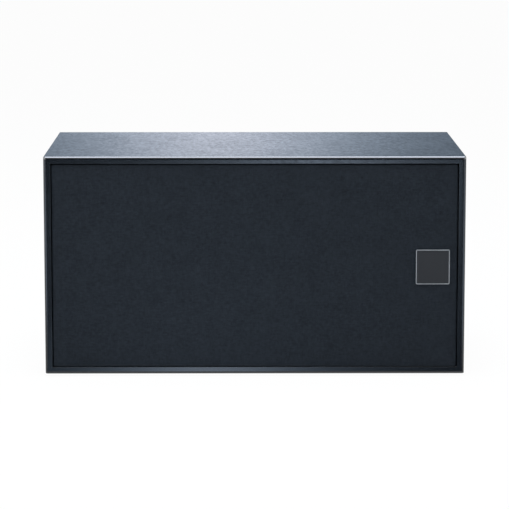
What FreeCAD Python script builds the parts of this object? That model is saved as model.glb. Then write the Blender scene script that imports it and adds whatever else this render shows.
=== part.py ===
import FreeCAD, Part
import math
import os

import Sketcher
from FreeCAD import Placement, Rotation, Vector

# A closed horizontal left/centre/right loudspeaker: woofer, tweeter, woofer behind a cloth grille.
# Frame: +Z up, +X to the right as seen from the front, the front faces -Y, feet stand on Z = 0.

# Driving sizes in millimetres, or plain counts.
SIZES = {
    # Cabinet
    "cab_width": 500,
    "cab_height": 261,
    "cab_depth": 285,
    "wall": 18,
    "edge_round": 1.5,
    "front_round": 4,
    "lip": 8.5,
    "rear_lip": 9,
    "baffle_setback": 18,
    "baffle_thick": 22,
    "rear_thick": 18,
    "brace_setback": 172,
    "brace_thick": 15,
    "brace_rail": 26,
    "brace_round": 14,
    "foot_radius": 11,
    "foot_height": 3,
    "foot_bevel": 1,
    "foot_inset": 34,
    "pad_thick": 30,
    "pad_round": 9,
    "soft_gap": 0.3,
    # Grille
    "grille_gap": 1.2,
    "grille_recess": 2,
    "grille_seat": 0.4,
    "cloth": 0.8,
    "cloth_corner": 2,
    "frame_bar": 24,
    "frame_post": 16,
    "frame_round": 12,
    "frame_bevel": 5,
    "badge_tab": 4,
    "peg_inset": 13,
    "peg_radius": 3,
    "peg_root": 8,
    "peg_reach": 9,
    "socket_radius": 5,
    "socket_depth": 12,
    "socket_play": 0.3,
    # Badge plate
    "badge_width": 40,
    "badge_height": 41.5,
    "badge_thick": 2,
    "badge_rim": 1.4,
    "badge_field": 0.6,
    "badge_round": 1.6,
    "badge_inset": 18.6,
    "badge_drop": 1.5,
    # Screws that hold the drive units
    "screw_radius": 2,
    "screw_length": 20,
    "screw_sink": 0.4,
    "head_radius": 3.4,
    "head_height": 2,
    "head_play": 0.3,
    # Woofer
    "woofer_margin": 16.5,
    "driver_gap": 3,
    "flange_width": 12.5,
    "flange_thick": 5,
    "flange_fit": 0.5,
    "flange_screws": 6,
    "screw_circle": 8,
    "gasket_width": 5,
    "gasket_thick": 1.5,
    "ledge_width": 3.5,
    "ledge_depth": 1.6,
    "basket_wall": 3,
    "basket_shoulder": 12,
    "basket_depth": 48,
    "basket_lean": 25.5,
    "heel_depth": 11,
    "seat_width": 4,
    "hub_radius": 24,
    "hub_thick": 4,
    "basket_windows": 6,
    "window_rim": 3,
    "tab_block_width": 22,
    "tab_block_height": 5,
    "surround_width": 10.5,
    "cone_rim": 4,
    "cone_thick": 0.9,
    "cone_neck_depth": 27,
    "cap_radius": 24,
    "cap_rise": 8.5,
    "cap_foot": 1.4,
    "cap_thick": 0.8,
    "roll_thick": 0.9,
    "spider_thick": 0.7,
    "spider_waves": 5,
    "spider_wave": 1.1,
    "coil_radius": 15.3,
    "former_thick": 0.4,
    "winding_thick": 0.8,
    "winding_length": 12,
    "coil_gap": 0.5,
    "plate_step": 5,
    "plate_thick": 6,
    "magnet_thick": 18,
    "magnet_bore": 26,
    "yoke_thick": 6,
    "yoke_bevel": 2,
    "vent_radius": 5,
    # Tweeter
    "tweeter_radius": 50,
    "tweeter_thick": 4,
    "tweeter_cutout": 40,
    "tweeter_screws": 4,
    "tweeter_body": 11,
    "horn_mouth": 37,
    "horn_throat": 17.5,
    "horn_depth": 8.5,
    "dome_radius": 13,
    "dome_rise": 6,
    "dome_roll_rise": 1.2,
    "dome_thick": 0.6,
    "dome_ring": 30,
    "tweeter_coil_thick": 0.6,
    "tweeter_coil_length": 8,
    "tweeter_gap": 0.4,
    "tweeter_plate_radius": 34,
    "tweeter_plate_thick": 4,
    "tweeter_magnet_radius": 34.5,
    "tweeter_magnet_bore": 18,
    "tweeter_magnet_thick": 12,
    "tweeter_yoke_thick": 4,
    # Terminal cup and binding posts
    "cup_width": 104,
    "cup_height": 80,
    "cup_drop": 56,
    "cup_flange": 9,
    "cup_flange_thick": 3,
    "cup_depth": 34,
    "cup_wall": 2.5,
    "cup_round": 10,
    "cup_fit": 0.3,
    "cup_screw_radius": 1.6,
    "cup_screw_head": 3,
    "cup_screw_sink": 1.6,
    "cup_screw_length": 14,
    "post_spacing": 38,
    "stud_radius": 3.5,
    "stud_reach": 23,
    "stud_tail": 13,
    "socket_bore": 2.05,
    "bore_depth": 18,
    "base_radius": 8.5,
    "base_thick": 4,
    "washer_radius": 6,
    "washer_thick": 1,
    "thread_play": 0.08,
    "cap_nut_radius": 8,
    "cap_nut_length": 16,
    "cap_nut_gap": 0.1,
    "flute_radius": 1.1,
    "flutes": 14,
    "post_bevel": 0.8,
    "post_nut_across": 10,
    "post_nut_sides": 6,
    "post_nut_thick": 5,
    # Crossover
    "board_width": 200,
    "board_height": 88,
    "board_thick": 1.6,
    "board_rise": 52,
    "standoff_radius": 4,
    "standoff_length": 8,
    "standoff_inset": 7,
    "board_screw_bite": 9,
    "coil_flange": 2,
    "woofer_choke_radius": 26,
    "woofer_choke_height": 26,
    "tweeter_choke_radius": 17,
    "tweeter_choke_height": 18,
    "choke_bore": 7,
    "capacitor_radius": 10,
    "capacitor_length": 44,
    "capacitor_bevel": 1.5,
    "resistor_length": 48,
    "resistor_side": 10,
    "connector_height": 20,
    "connector_depth": 12,
    # Tabs and leads
    "tab_width": 4.8,
    "tab_thick": 0.8,
    "tab_length": 16,
    "tab_pitch": 10,
    "tab_margin": 2,
    "lead_radius": 1.5,
    "lead_pitch": 8,
    "lead_bend_share": 0.7,
}

# Share of sagitta to chord of a quarter turn and of a half turn.
QUARTER = (math.sqrt(2) - 1) / 2
HALF = 0.5

# Angles in degrees at which rings of screws and windows start.
WOOFER_SCREW_ANGLE = 30
TWEETER_SCREW_ANGLE = 45
TOP_ANGLE = 90

# How close two depths are when they count as one.
NEAR = 0.001

DOC = FreeCAD.newDocument("lcr_speaker")
SHEET = DOC.addObject("Spreadsheet::Sheet", "Sizes")
PARTS = []


def fill_sheet():
    """Write every driving size into the sheet, beside its name."""
    for row, (alias, value) in enumerate(SIZES.items(), 1):
        SHEET.set(f"A{row}", alias.replace("_", " "))
        SHEET.set(f"B{row}", str(value))
        SHEET.setAlias(f"B{row}", alias)
    DOC.recompute()


class Length:
    """A number together with the formula that ties it to the sheet."""

    def __init__(self, value, text):
        self.value = float(value)
        self.text = text

    @property
    def bound(self):
        return "Sizes." in self.text

    def __add__(self, other):
        other = length(other)
        return Length(self.value + other.value, f"({self.text} + {other.text})")

    def __sub__(self, other):
        other = length(other)
        return Length(self.value - other.value, f"({self.text} - {other.text})")

    def __mul__(self, other):
        other = length(other)
        return Length(self.value * other.value, f"({self.text} * {other.text})")

    def __truediv__(self, other):
        other = length(other)
        return Length(self.value / other.value, f"({self.text} / {other.text})")

    def __radd__(self, other):
        return length(other) + self

    def __rsub__(self, other):
        return length(other) - self

    def __rmul__(self, other):
        return length(other) * self

    def __neg__(self):
        return Length(-self.value, f"(-1 * {self.text})")


def length(value):
    """Return value as a Length; a plain number stays a constant."""
    if isinstance(value, Length):
        return value
    return Length(value, repr(float(value)))


def size(alias):
    """Return the sheet's value for alias, tied to its cell."""
    return Length(SHEET.get(alias), f"Sizes.{alias}")


def count(alias):
    """Return a whole number from the sheet."""
    return int(SHEET.get(alias))


def bind(item, prop, value):
    """Set a property and tie it to the sheet where its formula names a size."""
    value = length(value)
    setattr(item, prop, value.value)
    if value.bound:
        item.setExpression(prop, value.text)


def place(item, x=0, y=0, z=0, rotation=Rotation()):
    """Put item at x, y, z, tied to the sheet."""
    spot = [length(value) for value in (x, y, z)]
    item.Placement = Placement(Vector(*(value.value for value in spot)), rotation)
    for axis, value in zip("xyz", spot):
        if value.bound:
            item.setExpression(f"Placement.Base.{axis}", value.text)


# Sketches

def new_body(label, x=0, y=0, z=0, is_part=True):
    """Start a body; is_part is False for a master that is only copied."""
    body = DOC.addObject("PartDesign::Body", label)
    body.Label = label
    place(body, x, y, z)
    if is_part:
        PARTS.append(body)
    return body


def origin_item(body, role):
    """Return the origin plane or axis of body with this role."""
    return next(item for item in body.Origin.OriginFeatures if item.Role == role)


def new_sketch(body, role, offset=0):
    """Attach a sketch to an origin plane of body, moved by offset along the plane's normal."""
    sketch = body.newObject("Sketcher::SketchObject", f"{body.Label}_sketch")
    sketch.AttachmentSupport = [(origin_item(body, role), "")]
    sketch.MapMode = "FlatFace"
    offset = length(offset)
    sketch.AttachmentOffset = Placement(Vector(0, 0, offset.value), Rotation())
    if offset.bound:
        sketch.setExpression("AttachmentOffset.Base.z", offset.text)
    return sketch


def fix(sketch, kind, *place_and_value):
    """Add a dimension and tie it to the sheet."""
    *ends, value = place_and_value
    value = length(value)
    index = sketch.addConstraint(Sketcher.Constraint(kind, *ends, value.value))
    if value.bound:
        sketch.setExpression(f"Constraints[{index}]", value.text)


def fix_point(sketch, item, end, x, y):
    """Hold one point of a curve at x, y from the sketch's origin."""
    fix(sketch, "DistanceX", -1, 1, item, end, x)
    fix(sketch, "DistanceY", -1, 1, item, end, y)


def circle(sketch, x, y, radius):
    """Add a circle."""
    x, y, radius = length(x), length(y), length(radius)
    centre = Vector(x.value, y.value, 0)
    item = sketch.addGeometry(Part.Circle(centre, Vector(0, 0, 1), radius.value), False)
    fix_point(sketch, item, 3, x, y)
    fix(sketch, "Radius", item, radius)


def arc_centre(start, end, bend):
    """Return the centre of an arc from its ends and its sagitta as a share of its chord."""
    share = (0.25 - bend * bend) / (2 * bend)
    across = (end[0] - start[0], end[1] - start[1])
    middle = ((start[0] + end[0]) / 2, (start[1] + end[1]) / 2)
    return middle[0] - across[1] * share, middle[1] + across[0] * share


def curve_between(start, end, bend):
    """Return the line or arc from start to end, and which of its ends is the start."""
    first = Vector(start[0].value, start[1].value, 0)
    last = Vector(end[0].value, end[1].value, 0)
    if not bend:
        return Part.LineSegment(first, last), 1
    centre = arc_centre(start, end, bend)
    hub = Vector(centre[0].value, centre[1].value, 0)
    ring = Part.Circle(hub, Vector(0, 0, 1), (first - hub).Length)
    if bend > 0:
        return Part.ArcOfCircle(ring, ring.parameter(first), ring.parameter(last)), 1
    return Part.ArcOfCircle(ring, ring.parameter(last), ring.parameter(first)), 2


def trace(sketch, points, closed=True):
    """Draw an outline through points: (x, y) by a line, or (x, y, bend) by an arc.

    bend is the arc's sagitta over its chord, above zero where the arc turns anticlockwise. The
    first point of a closed outline is reached from the last one.
    """
    spots = [(length(point[0]), length(point[1])) for point in points]
    bends = [point[2] if len(point) > 2 else 0 for point in points]
    pairs = [(i - 1, i) for i in range(0 if closed else 1, len(points))]
    items = []
    for before, here in pairs:
        curve, start_end = curve_between(spots[before], spots[here], bends[here])
        items.append((sketch.addGeometry(curve, False), start_end, 3 - start_end))
    for number, (before, here) in enumerate(pairs):
        item, start_end, last_end = items[number]
        fix_point(sketch, item, last_end, *spots[here])
        if number or closed:
            previous, _, joined_end = items[number - 1]
            joint = Sketcher.Constraint("Coincident", previous, joined_end, item, start_end)
            sketch.addConstraint(joint)
        else:
            fix_point(sketch, item, start_end, *spots[before])
        if bends[here]:
            centre = arc_centre(spots[before], spots[here], bends[here])
            run = abs(spots[here][0].value - spots[before][0].value)
            rise = abs(spots[here][1].value - spots[before][1].value)
            if run >= rise:
                fix(sketch, "DistanceY", -1, 1, item, 3, centre[1])
            else:
                fix(sketch, "DistanceX", -1, 1, item, 3, centre[0])


def rectangle(sketch, left, low, right, high):
    """Draw a square-cornered rectangle."""
    trace(sketch, [(left, low), (right, low), (right, high), (left, high)])


def rounded_rectangle(sketch, left, low, right, high, radius):
    """Draw a rectangle with rounded corners."""
    trace(sketch, [
        (left + radius, low, QUARTER),
        (right - radius, low),
        (right, low + radius, QUARTER),
        (right, high - radius),
        (right - radius, high, QUARTER),
        (left + radius, high),
        (left, high - radius, QUARTER),
        (left, low + radius),
    ])


def tangent_bend(run, rise):
    """Return the bend of an arc that sets off along its run and ends up by its rise."""
    return math.tan(math.atan2(rise.value, run.value) / 2) / 2


def at_angle(radius, degrees):
    """Return the spot on a circle at an angle from the sketch's X axis."""
    angle = math.radians(degrees)
    return radius * math.cos(angle), radius * math.sin(angle)


def around(radius, total, start):
    """Return places spaced evenly round a circle, from a start in degrees."""
    return [at_angle(radius, start + 360 * number / total) for number in range(total)]


# Features

def pad(body, sketch, depth, flip=False, both_ways=False):
    """Extrude a sketch and join it to the body."""
    feature = body.newObject("PartDesign::Pad", f"{body.Label}_pad")
    feature.Profile = sketch
    bind(feature, "Length", depth)
    feature.Reversed = flip
    if both_ways:
        feature.SideType = "Symmetric"
    DOC.recompute()
    return feature


def pocket(body, sketch, depth, flip=False, both_ways=False):
    """Cut a sketch out of the body, and see that the cut takes something away."""
    before = body.Shape.Volume
    feature = body.newObject("PartDesign::Pocket", f"{body.Label}_pocket")
    feature.Profile = sketch
    bind(feature, "Length", depth)
    feature.Reversed = flip
    if both_ways:
        feature.SideType = "Symmetric"
    DOC.recompute()
    if not body.Shape.Volume < before:
        raise ValueError(f"a cut in {body.Label} takes nothing away")
    return feature


def revolve(body, sketch, axis="V_Axis"):
    """Turn a sketch about one of its own axes."""
    feature = body.newObject("PartDesign::Revolution", f"{body.Label}_turn")
    feature.Profile = sketch
    feature.ReferenceAxis = (sketch, [axis])
    feature.Angle = 360
    DOC.recompute()
    return feature


def polar(body, feature, alias):
    """Repeat a feature round the body's Y axis."""
    pattern = body.newObject("PartDesign::PolarPattern", f"{body.Label}_ring")
    pattern.Originals = [feature]
    pattern.Axis = (origin_item(body, "Y_Axis"), [""])
    pattern.Angle = 360
    pattern.Occurrences = count(alias)
    pattern.setExpression("Occurrences", f"Sizes.{alias}")
    body.Tip = pattern
    DOC.recompute()
    return pattern


def turned(label, points, x=0, y=0, z=0, is_part=True):
    """Make a piece turned about an axis along Y; points are (radius, depth)."""
    body = new_body(label, x, y, z, is_part)
    sketch = new_sketch(body, "XY_Plane")
    trace(sketch, points)
    revolve(body, sketch)
    return body


def copies(label, master, spots):
    """Return linked copies of a master, each at its own spot."""
    links = []
    for number, spot in enumerate(spots, 1):
        link = DOC.addObject("App::Link", f"{label}_{number}")
        link.LinkedObject = master
        place(link, *spot)
        links.append(link)
    return links


def bundle(label, items):
    """Join separate solids into one part, without fusing them."""
    part = DOC.addObject("Part::Compound", label)
    part.Label = label
    part.Links = items
    PARTS.append(part)


def block(name, x, y, z, width, depth, height):
    """Make a plain box between x and x + width, and so on."""
    box = DOC.addObject("Part::Box", name)
    bind(box, "Length", width)
    bind(box, "Width", depth)
    bind(box, "Height", height)
    place(box, x, y, z)
    return box


fill_sheet()

# Places worked out from the driving sizes

HALF_WIDTH = size("cab_width") / 2
HALF_HEIGHT = size("cab_height") / 2
MID = size("foot_height") + HALF_HEIGHT
FRONT = -size("cab_depth") / 2
REAR = size("cab_depth") / 2
BAFFLE = FRONT + size("baffle_setback")
REAR_INSIDE = REAR - size("rear_thick")
BRACE = FRONT + size("brace_setback")
BRACE_BACK = BRACE + size("brace_thick")
INSIDE_WIDTH = HALF_WIDTH - size("wall")
INSIDE_HEIGHT = HALF_HEIGHT - size("wall")

CLOTH_FRONT = FRONT + size("grille_recess")
FRAME_FRONT = CLOTH_FRONT + size("cloth")
FRAME_DEPTH = BAFFLE - size("grille_seat") - FRAME_FRONT
GRILLE_WIDTH = HALF_WIDTH - size("lip") - size("grille_gap")
GRILLE_HEIGHT = HALF_HEIGHT - size("lip") - size("grille_gap")
FRAME_WIDTH = GRILLE_WIDTH - size("cloth")
FRAME_HEIGHT = GRILLE_HEIGHT - size("cloth")
BADGE_X = HALF_WIDTH - size("badge_inset") - size("badge_width") / 2

BAFFLE_ROOM = HALF_WIDTH - size("lip") - size("woofer_margin")
FLANGE_RADIUS = (BAFFLE_ROOM - size("driver_gap") - size("tweeter_radius")) / 2
WOOFER_X = BAFFLE_ROOM - FLANGE_RADIUS
CUTOUT_RADIUS = FLANGE_RADIUS - size("flange_width")
SCREW_CIRCLE = CUTOUT_RADIUS + size("screw_circle")
TWEETER_CIRCLE = (size("tweeter_radius") + size("tweeter_cutout")) / 2
HEAD_SEAT = size("screw_sink") + size("head_height")
SIDES = {"left": -1, "right": 1}

CUP_Z = -size("cup_drop")
CUP_BACK = REAR - size("cup_depth")
STUD_TAIL_END = CUP_BACK - size("stud_tail")

BOARD_FRONT = REAR_INSIDE - size("standoff_length") - size("board_thick")
BOARD_Z = MID + size("board_rise")


def peg_spots():
    """Return the places of the grille pegs: the corners, and the middle of top and bottom."""
    across = FRAME_WIDTH - size("peg_inset")
    up = FRAME_HEIGHT - size("peg_inset")
    return [(side * across, rise * up) for side in (-1, 0, 1) for rise in (-1, 1)]


def woofer_screw_spots():
    """Return the screw places of one woofer about its own axis."""
    return around(SCREW_CIRCLE, count("flange_screws"), WOOFER_SCREW_ANGLE)


def tweeter_screw_spots():
    """Return the screw places of the tweeter about its own axis."""
    return around(TWEETER_CIRCLE, count("tweeter_screws"), TWEETER_SCREW_ANGLE)


def driver_screw_spots():
    """Return every drive unit screw's place on the baffle."""
    spots = tweeter_screw_spots()
    for side in SIDES.values():
        spots += [(side * WOOFER_X + x, z) for x, z in woofer_screw_spots()]
    return spots


def cup_screw_spots():
    """Return the four corner screws of the terminal cup about its centre."""
    across = size("cup_width") / 2 + size("cup_flange") / 2
    up = size("cup_height") / 2 - size("cup_round")
    return [(side * across, rise * up) for side in (-1, 1) for rise in (-1, 1)]


def standoff_spots():
    """Return the four board fixings about the board's centre."""
    across = size("board_width") / 2 - size("standoff_inset")
    up = size("board_height") / 2 - size("standoff_inset")
    return [(side * across, rise * up) for side in (-1, 1) for rise in (-1, 1)]


# Cabinet

def corner_waste(sketch, corner_x, corner_y, side_x, side_y, radius):
    """Draw what is cut from one outside corner to round it."""
    in_x = corner_x - side_x * radius
    in_y = corner_y - side_y * radius
    out_x = corner_x + side_x * radius
    out_y = corner_y + side_y * radius
    trace(sketch, [
        (in_x, corner_y),
        (corner_x, in_y, -side_x * side_y * QUARTER),
        (out_x, in_y),
        (out_x, out_y),
        (in_x, out_y),
    ])


def cabinet_wrap():
    """Make the folded top, bottom and sides, with rebates for the baffle and the rear panel."""
    body = new_body("cabinet_wrap", z=MID)
    section = new_sketch(body, "XZ_Plane")
    rounded_rectangle(section, -HALF_WIDTH, -HALF_HEIGHT, HALF_WIDTH, HALF_HEIGHT, size("edge_round"))
    rectangle(section, -INSIDE_WIDTH, -INSIDE_HEIGHT, INSIDE_WIDTH, INSIDE_HEIGHT)
    pad(body, section, size("cab_depth"), both_ways=True)

    across = HALF_WIDTH - size("lip")
    up = HALF_HEIGHT - size("lip")
    front_rebate = new_sketch(body, "XZ_Plane", -FRONT)
    rectangle(front_rebate, -across, -up, across, up)
    pocket(body, front_rebate, size("baffle_setback") + size("baffle_thick"))

    across = HALF_WIDTH - size("rear_lip")
    up = HALF_HEIGHT - size("rear_lip")
    rear_rebate = new_sketch(body, "XZ_Plane", -REAR)
    rectangle(rear_rebate, -across, -up, across, up)
    pocket(body, rear_rebate, size("rear_thick"), flip=True)

    side_view = new_sketch(body, "YZ_Plane")
    plan_view = new_sketch(body, "XY_Plane")
    for side in (-1, 1):
        corner_waste(side_view, FRONT, side * HALF_HEIGHT, -1, side, size("front_round"))
        corner_waste(side_view, REAR, side * HALF_HEIGHT, 1, side, size("edge_round"))
        corner_waste(plan_view, side * HALF_WIDTH, FRONT, side, -1, size("front_round"))
        corner_waste(plan_view, side * HALF_WIDTH, REAR, side, 1, size("edge_round"))
    pocket(body, side_view, size("cab_width") * 2, both_ways=True)
    pocket(body, plan_view, size("cab_height") * 2, both_ways=True)


def front_baffle():
    """Make the board that carries the drive units and the grille sockets."""
    body = new_body("front_baffle", y=BAFFLE, z=MID)
    across = HALF_WIDTH - size("lip")
    up = HALF_HEIGHT - size("lip")
    outline = new_sketch(body, "XZ_Plane")
    rectangle(outline, -across, -up, across, up)
    pad(body, outline, size("baffle_thick"), flip=True)

    rebates = new_sketch(body, "XZ_Plane")
    holes = new_sketch(body, "XZ_Plane")
    for side in SIDES.values():
        circle(rebates, side * WOOFER_X, 0, FLANGE_RADIUS + size("flange_fit"))
        circle(holes, side * WOOFER_X, 0, CUTOUT_RADIUS)
    circle(holes, 0, 0, size("tweeter_cutout"))
    pocket(body, rebates, size("flange_thick") + size("gasket_thick"))
    pocket(body, holes, size("baffle_thick"))

    tweeter_rebate = new_sketch(body, "XZ_Plane")
    circle(tweeter_rebate, 0, 0, size("tweeter_radius") + size("flange_fit"))
    pocket(body, tweeter_rebate, size("tweeter_thick"))

    sockets = new_sketch(body, "XZ_Plane")
    for x, z in peg_spots():
        circle(sockets, x, z, size("socket_radius"))
    pocket(body, sockets, size("socket_depth"))

    pilots = new_sketch(body, "XZ_Plane")
    for x, z in driver_screw_spots():
        circle(pilots, x, z, size("screw_radius"))
    pocket(body, pilots, size("screw_length"))


def rear_panel():
    """Make the back, with the terminal cup's opening and the crossover's pilot holes."""
    body = new_body("rear_panel", y=REAR_INSIDE, z=MID)
    across = HALF_WIDTH - size("rear_lip")
    up = HALF_HEIGHT - size("rear_lip")
    outline = new_sketch(body, "XZ_Plane")
    rectangle(outline, -across, -up, across, up)
    pad(body, outline, size("rear_thick"), flip=True)

    across = size("cup_width") / 2 + size("cup_fit")
    up = size("cup_height") / 2 + size("cup_fit")
    opening = new_sketch(body, "XZ_Plane")
    corner = size("cup_round") + size("cup_fit")
    rounded_rectangle(opening, -across, CUP_Z - up, across, CUP_Z + up, corner)
    pocket(body, opening, size("rear_thick"))

    across = across + size("cup_flange")
    up = up + size("cup_flange")
    rebate = new_sketch(body, "XZ_Plane", -size("rear_thick"))
    rounded_rectangle(rebate, -across, CUP_Z - up, across, CUP_Z + up, corner)
    pocket(body, rebate, size("cup_flange_thick"), flip=True)

    cup_pilots = new_sketch(body, "XZ_Plane", -size("rear_thick"))
    for x, z in cup_screw_spots():
        circle(cup_pilots, x, CUP_Z + z, size("cup_screw_radius"))
    pocket(body, cup_pilots, size("cup_screw_length"), flip=True)

    board_pilots = new_sketch(body, "XZ_Plane")
    for x, z in standoff_spots():
        circle(board_pilots, x, size("board_rise") + z, size("cup_screw_radius"))
    pocket(body, board_pilots, size("board_screw_bite"))


def window_brace():
    """Make the inner frame that ties the four walls together."""
    body = new_body("window_brace", y=BRACE, z=MID)
    rail = size("brace_rail")
    bar = WOOFER_X / 2
    up = INSIDE_HEIGHT - rail
    section = new_sketch(body, "XZ_Plane")
    rectangle(section, -INSIDE_WIDTH, -INSIDE_HEIGHT, INSIDE_WIDTH, INSIDE_HEIGHT)
    bays = (
        (rail - INSIDE_WIDTH, -bar - rail / 2),
        (rail / 2 - bar, bar - rail / 2),
        (bar + rail / 2, INSIDE_WIDTH - rail),
    )
    for left, right in bays:
        rounded_rectangle(section, left, -up, right, up, size("brace_round"))
    pad(body, section, size("brace_thick"), flip=True)


def rubber_feet():
    """Make the four bevelled feet."""
    foot = new_body("foot_master", is_part=False)
    radius, bevel, high = size("foot_radius"), size("foot_bevel"), size("foot_height")
    section = new_sketch(foot, "XZ_Plane")
    trace(section, [(0, 0), (radius - bevel, 0), (radius, bevel), (radius, high), (0, high)])
    revolve(foot, section)
    across = HALF_WIDTH - size("foot_inset")
    along = REAR - size("foot_inset")
    spots = [(side * across, end * along, 0) for side in (-1, 1) for end in (-1, 1)]
    bundle("rubber_feet", copies("foot", foot, spots))


def damping_pad(side_name):
    """Make the wadding that lines one side wall behind the brace."""
    side = SIDES[side_name]
    middle = side * (INSIDE_WIDTH - size("soft_gap") - size("pad_thick") / 2)
    body = new_body(f"damping_{side_name}", x=middle, z=MID)
    half = size("pad_thick") / 2
    section = new_sketch(body, "XY_Plane")
    low = BRACE_BACK + size("soft_gap")
    high = REAR_INSIDE - size("soft_gap")
    rounded_rectangle(section, -half, low, half, high, size("pad_round"))
    pad(body, section, (INSIDE_HEIGHT - size("soft_gap")) * 2, both_ways=True)


# Grille

def grille_frame():
    """Make the three-windowed frame, with bevelled window backs and a tab behind the badge."""
    body = new_body("grille_frame", y=FRAME_FRONT, z=MID)
    bar = size("frame_bar")
    post = (WOOFER_X - FLANGE_RADIUS + size("tweeter_radius")) / 2
    half_post = size("frame_post") / 2
    up = FRAME_HEIGHT - bar
    section = new_sketch(body, "XZ_Plane")
    corner = size("cloth_corner") - size("cloth")
    rounded_rectangle(section, -FRAME_WIDTH, -FRAME_HEIGHT, FRAME_WIDTH, FRAME_HEIGHT, corner)
    windows = (
        (bar - FRAME_WIDTH, -post - half_post),
        (half_post - post, post - half_post),
        (post + half_post, FRAME_WIDTH - bar),
    )
    for left, right in windows:
        rounded_rectangle(section, left, -up, right, up, size("frame_round"))
    frame = pad(body, section, FRAME_DEPTH, flip=True)

    bevel = body.newObject("PartDesign::Chamfer", "grille_frame_bevel")
    bevel.Base = (frame, window_back_edges(frame.Shape))
    bind(bevel, "Size", size("frame_bevel"))
    DOC.recompute()

    tab = new_sketch(body, "XZ_Plane")
    reach = size("badge_height") / 2 + size("badge_rim")
    left = BADGE_X - size("badge_width") / 2 - size("badge_rim")
    drop = -size("badge_drop")
    rectangle(tab, left, drop - reach, FRAME_WIDTH - bar / 2, drop + reach)
    pad(body, tab, size("badge_tab"), flip=True)

    holes = new_sketch(body, "XZ_Plane", -FRAME_DEPTH)
    for x, z in peg_spots():
        circle(holes, x, z, size("peg_radius"))
    pocket(body, holes, size("peg_root"), flip=True)


def window_back_edges(shape):
    """Return the names of the edges that rim the windows at the back of the frame."""
    back = shape.BoundBox.YMax
    margin = size("frame_bar").value / 2
    names = []
    for number, edge in enumerate(shape.Edges, 1):
        box = edge.BoundBox
        at_back = abs(box.YMin - back) < NEAR and abs(box.YMax - back) < NEAR
        middle = edge.CenterOfMass
        inside_x = abs(middle.x) < shape.BoundBox.XMax - margin
        inside_z = abs(middle.z) < shape.BoundBox.ZMax - margin
        if at_back and inside_x and inside_z:
            names.append(f"Edge{number}")
    return names


def grille_cloth():
    """Make the cloth as a thin panel over the frame's front."""
    body = new_body("grille_cloth", y=CLOTH_FRONT, z=MID)
    section = new_sketch(body, "XZ_Plane")
    corner = size("cloth_corner")
    rounded_rectangle(section, -GRILLE_WIDTH, -GRILLE_HEIGHT, GRILLE_WIDTH, GRILLE_HEIGHT, corner)
    pad(body, section, size("cloth"), flip=True)


def grille_pegs():
    """Make the bevel-nosed pegs that stand out of the frame's back."""
    radius, root, reach = size("peg_radius"), size("peg_root"), size("peg_reach")
    nose = radius / 2
    peg = turned("peg_master", [
        (0, -root),
        (radius, -root),
        (radius, reach - nose),
        (radius - nose, reach),
        (0, reach),
    ], is_part=False)
    back = FRAME_FRONT + FRAME_DEPTH
    bundle("grille_pegs", copies("peg", peg, [(x, back, MID + z) for x, z in peg_spots()]))


def peg_sockets():
    """Make the cups in the baffle that grip the pegs."""
    outer, deep = size("socket_radius"), size("socket_depth")
    inner = size("peg_radius") + size("socket_play")
    floor = deep - (outer - inner)
    socket = turned("socket_master", [
        (inner, 0),
        (outer, 0),
        (outer, deep),
        (0, deep),
        (0, floor),
        (inner, floor),
    ], is_part=False)
    bundle("peg_sockets", copies("socket", socket, [(x, BAFFLE, MID + z) for x, z in peg_spots()]))


def badge_plate():
    """Make the plain plate on the cloth: a raised rim round a sunk field."""
    front = CLOTH_FRONT - size("badge_thick")
    body = new_body("badge_plate", x=BADGE_X, y=front, z=MID - size("badge_drop"))
    across = size("badge_width") / 2
    up = size("badge_height") / 2
    outline = new_sketch(body, "XZ_Plane")
    rounded_rectangle(outline, -across, -up, across, up, size("badge_round"))
    pad(body, outline, size("badge_thick"), flip=True)
    rim = size("badge_rim")
    field = new_sketch(body, "XZ_Plane")
    rectangle(field, rim - across, rim - up, across - rim, up - rim)
    pocket(body, field, size("badge_field"))


# Woofers

BODY_RADIUS = CUTOUT_RADIUS - size("flange_fit")
THROAT_RADIUS = BODY_RADIUS - size("basket_wall")
LEDGE_RADIUS = CUTOUT_RADIUS + size("ledge_width")
HEEL_RADIUS = CUTOUT_RADIUS - size("basket_lean")
CONE_RADIUS = CUTOUT_RADIUS - size("surround_width")
PLATE_RADIUS = HEEL_RADIUS - size("plate_step")
HEEL_TOP = size("basket_depth") - size("heel_depth")
SPIDER_RADIUS = HEEL_RADIUS - size("basket_wall")
FORMER_RADIUS = size("coil_radius") + size("former_thick")
COIL_OUTSIDE = FORMER_RADIUS + size("winding_thick")
GAP_MIDDLE = size("basket_depth") + size("plate_thick") / 2
YOKE_FRONT = size("basket_depth") + size("plate_thick") + size("magnet_thick")
RIM_INSIDE = CONE_RADIUS - size("cone_rim")
CONE_SLOPE = (size("cone_neck_depth") - size("ledge_depth")) / (RIM_INSIDE - FORMER_RADIUS)
TAB_SEAT = HEEL_RADIUS + size("tab_block_height")
TAB_START = HEEL_TOP + (size("heel_depth") - size("tab_length") / 2) / 2


def cone_front(radius):
    """Return the depth of the cone's front face at a radius."""
    return size("cone_neck_depth") - CONE_SLOPE * (radius - FORMER_RADIUS)


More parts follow.
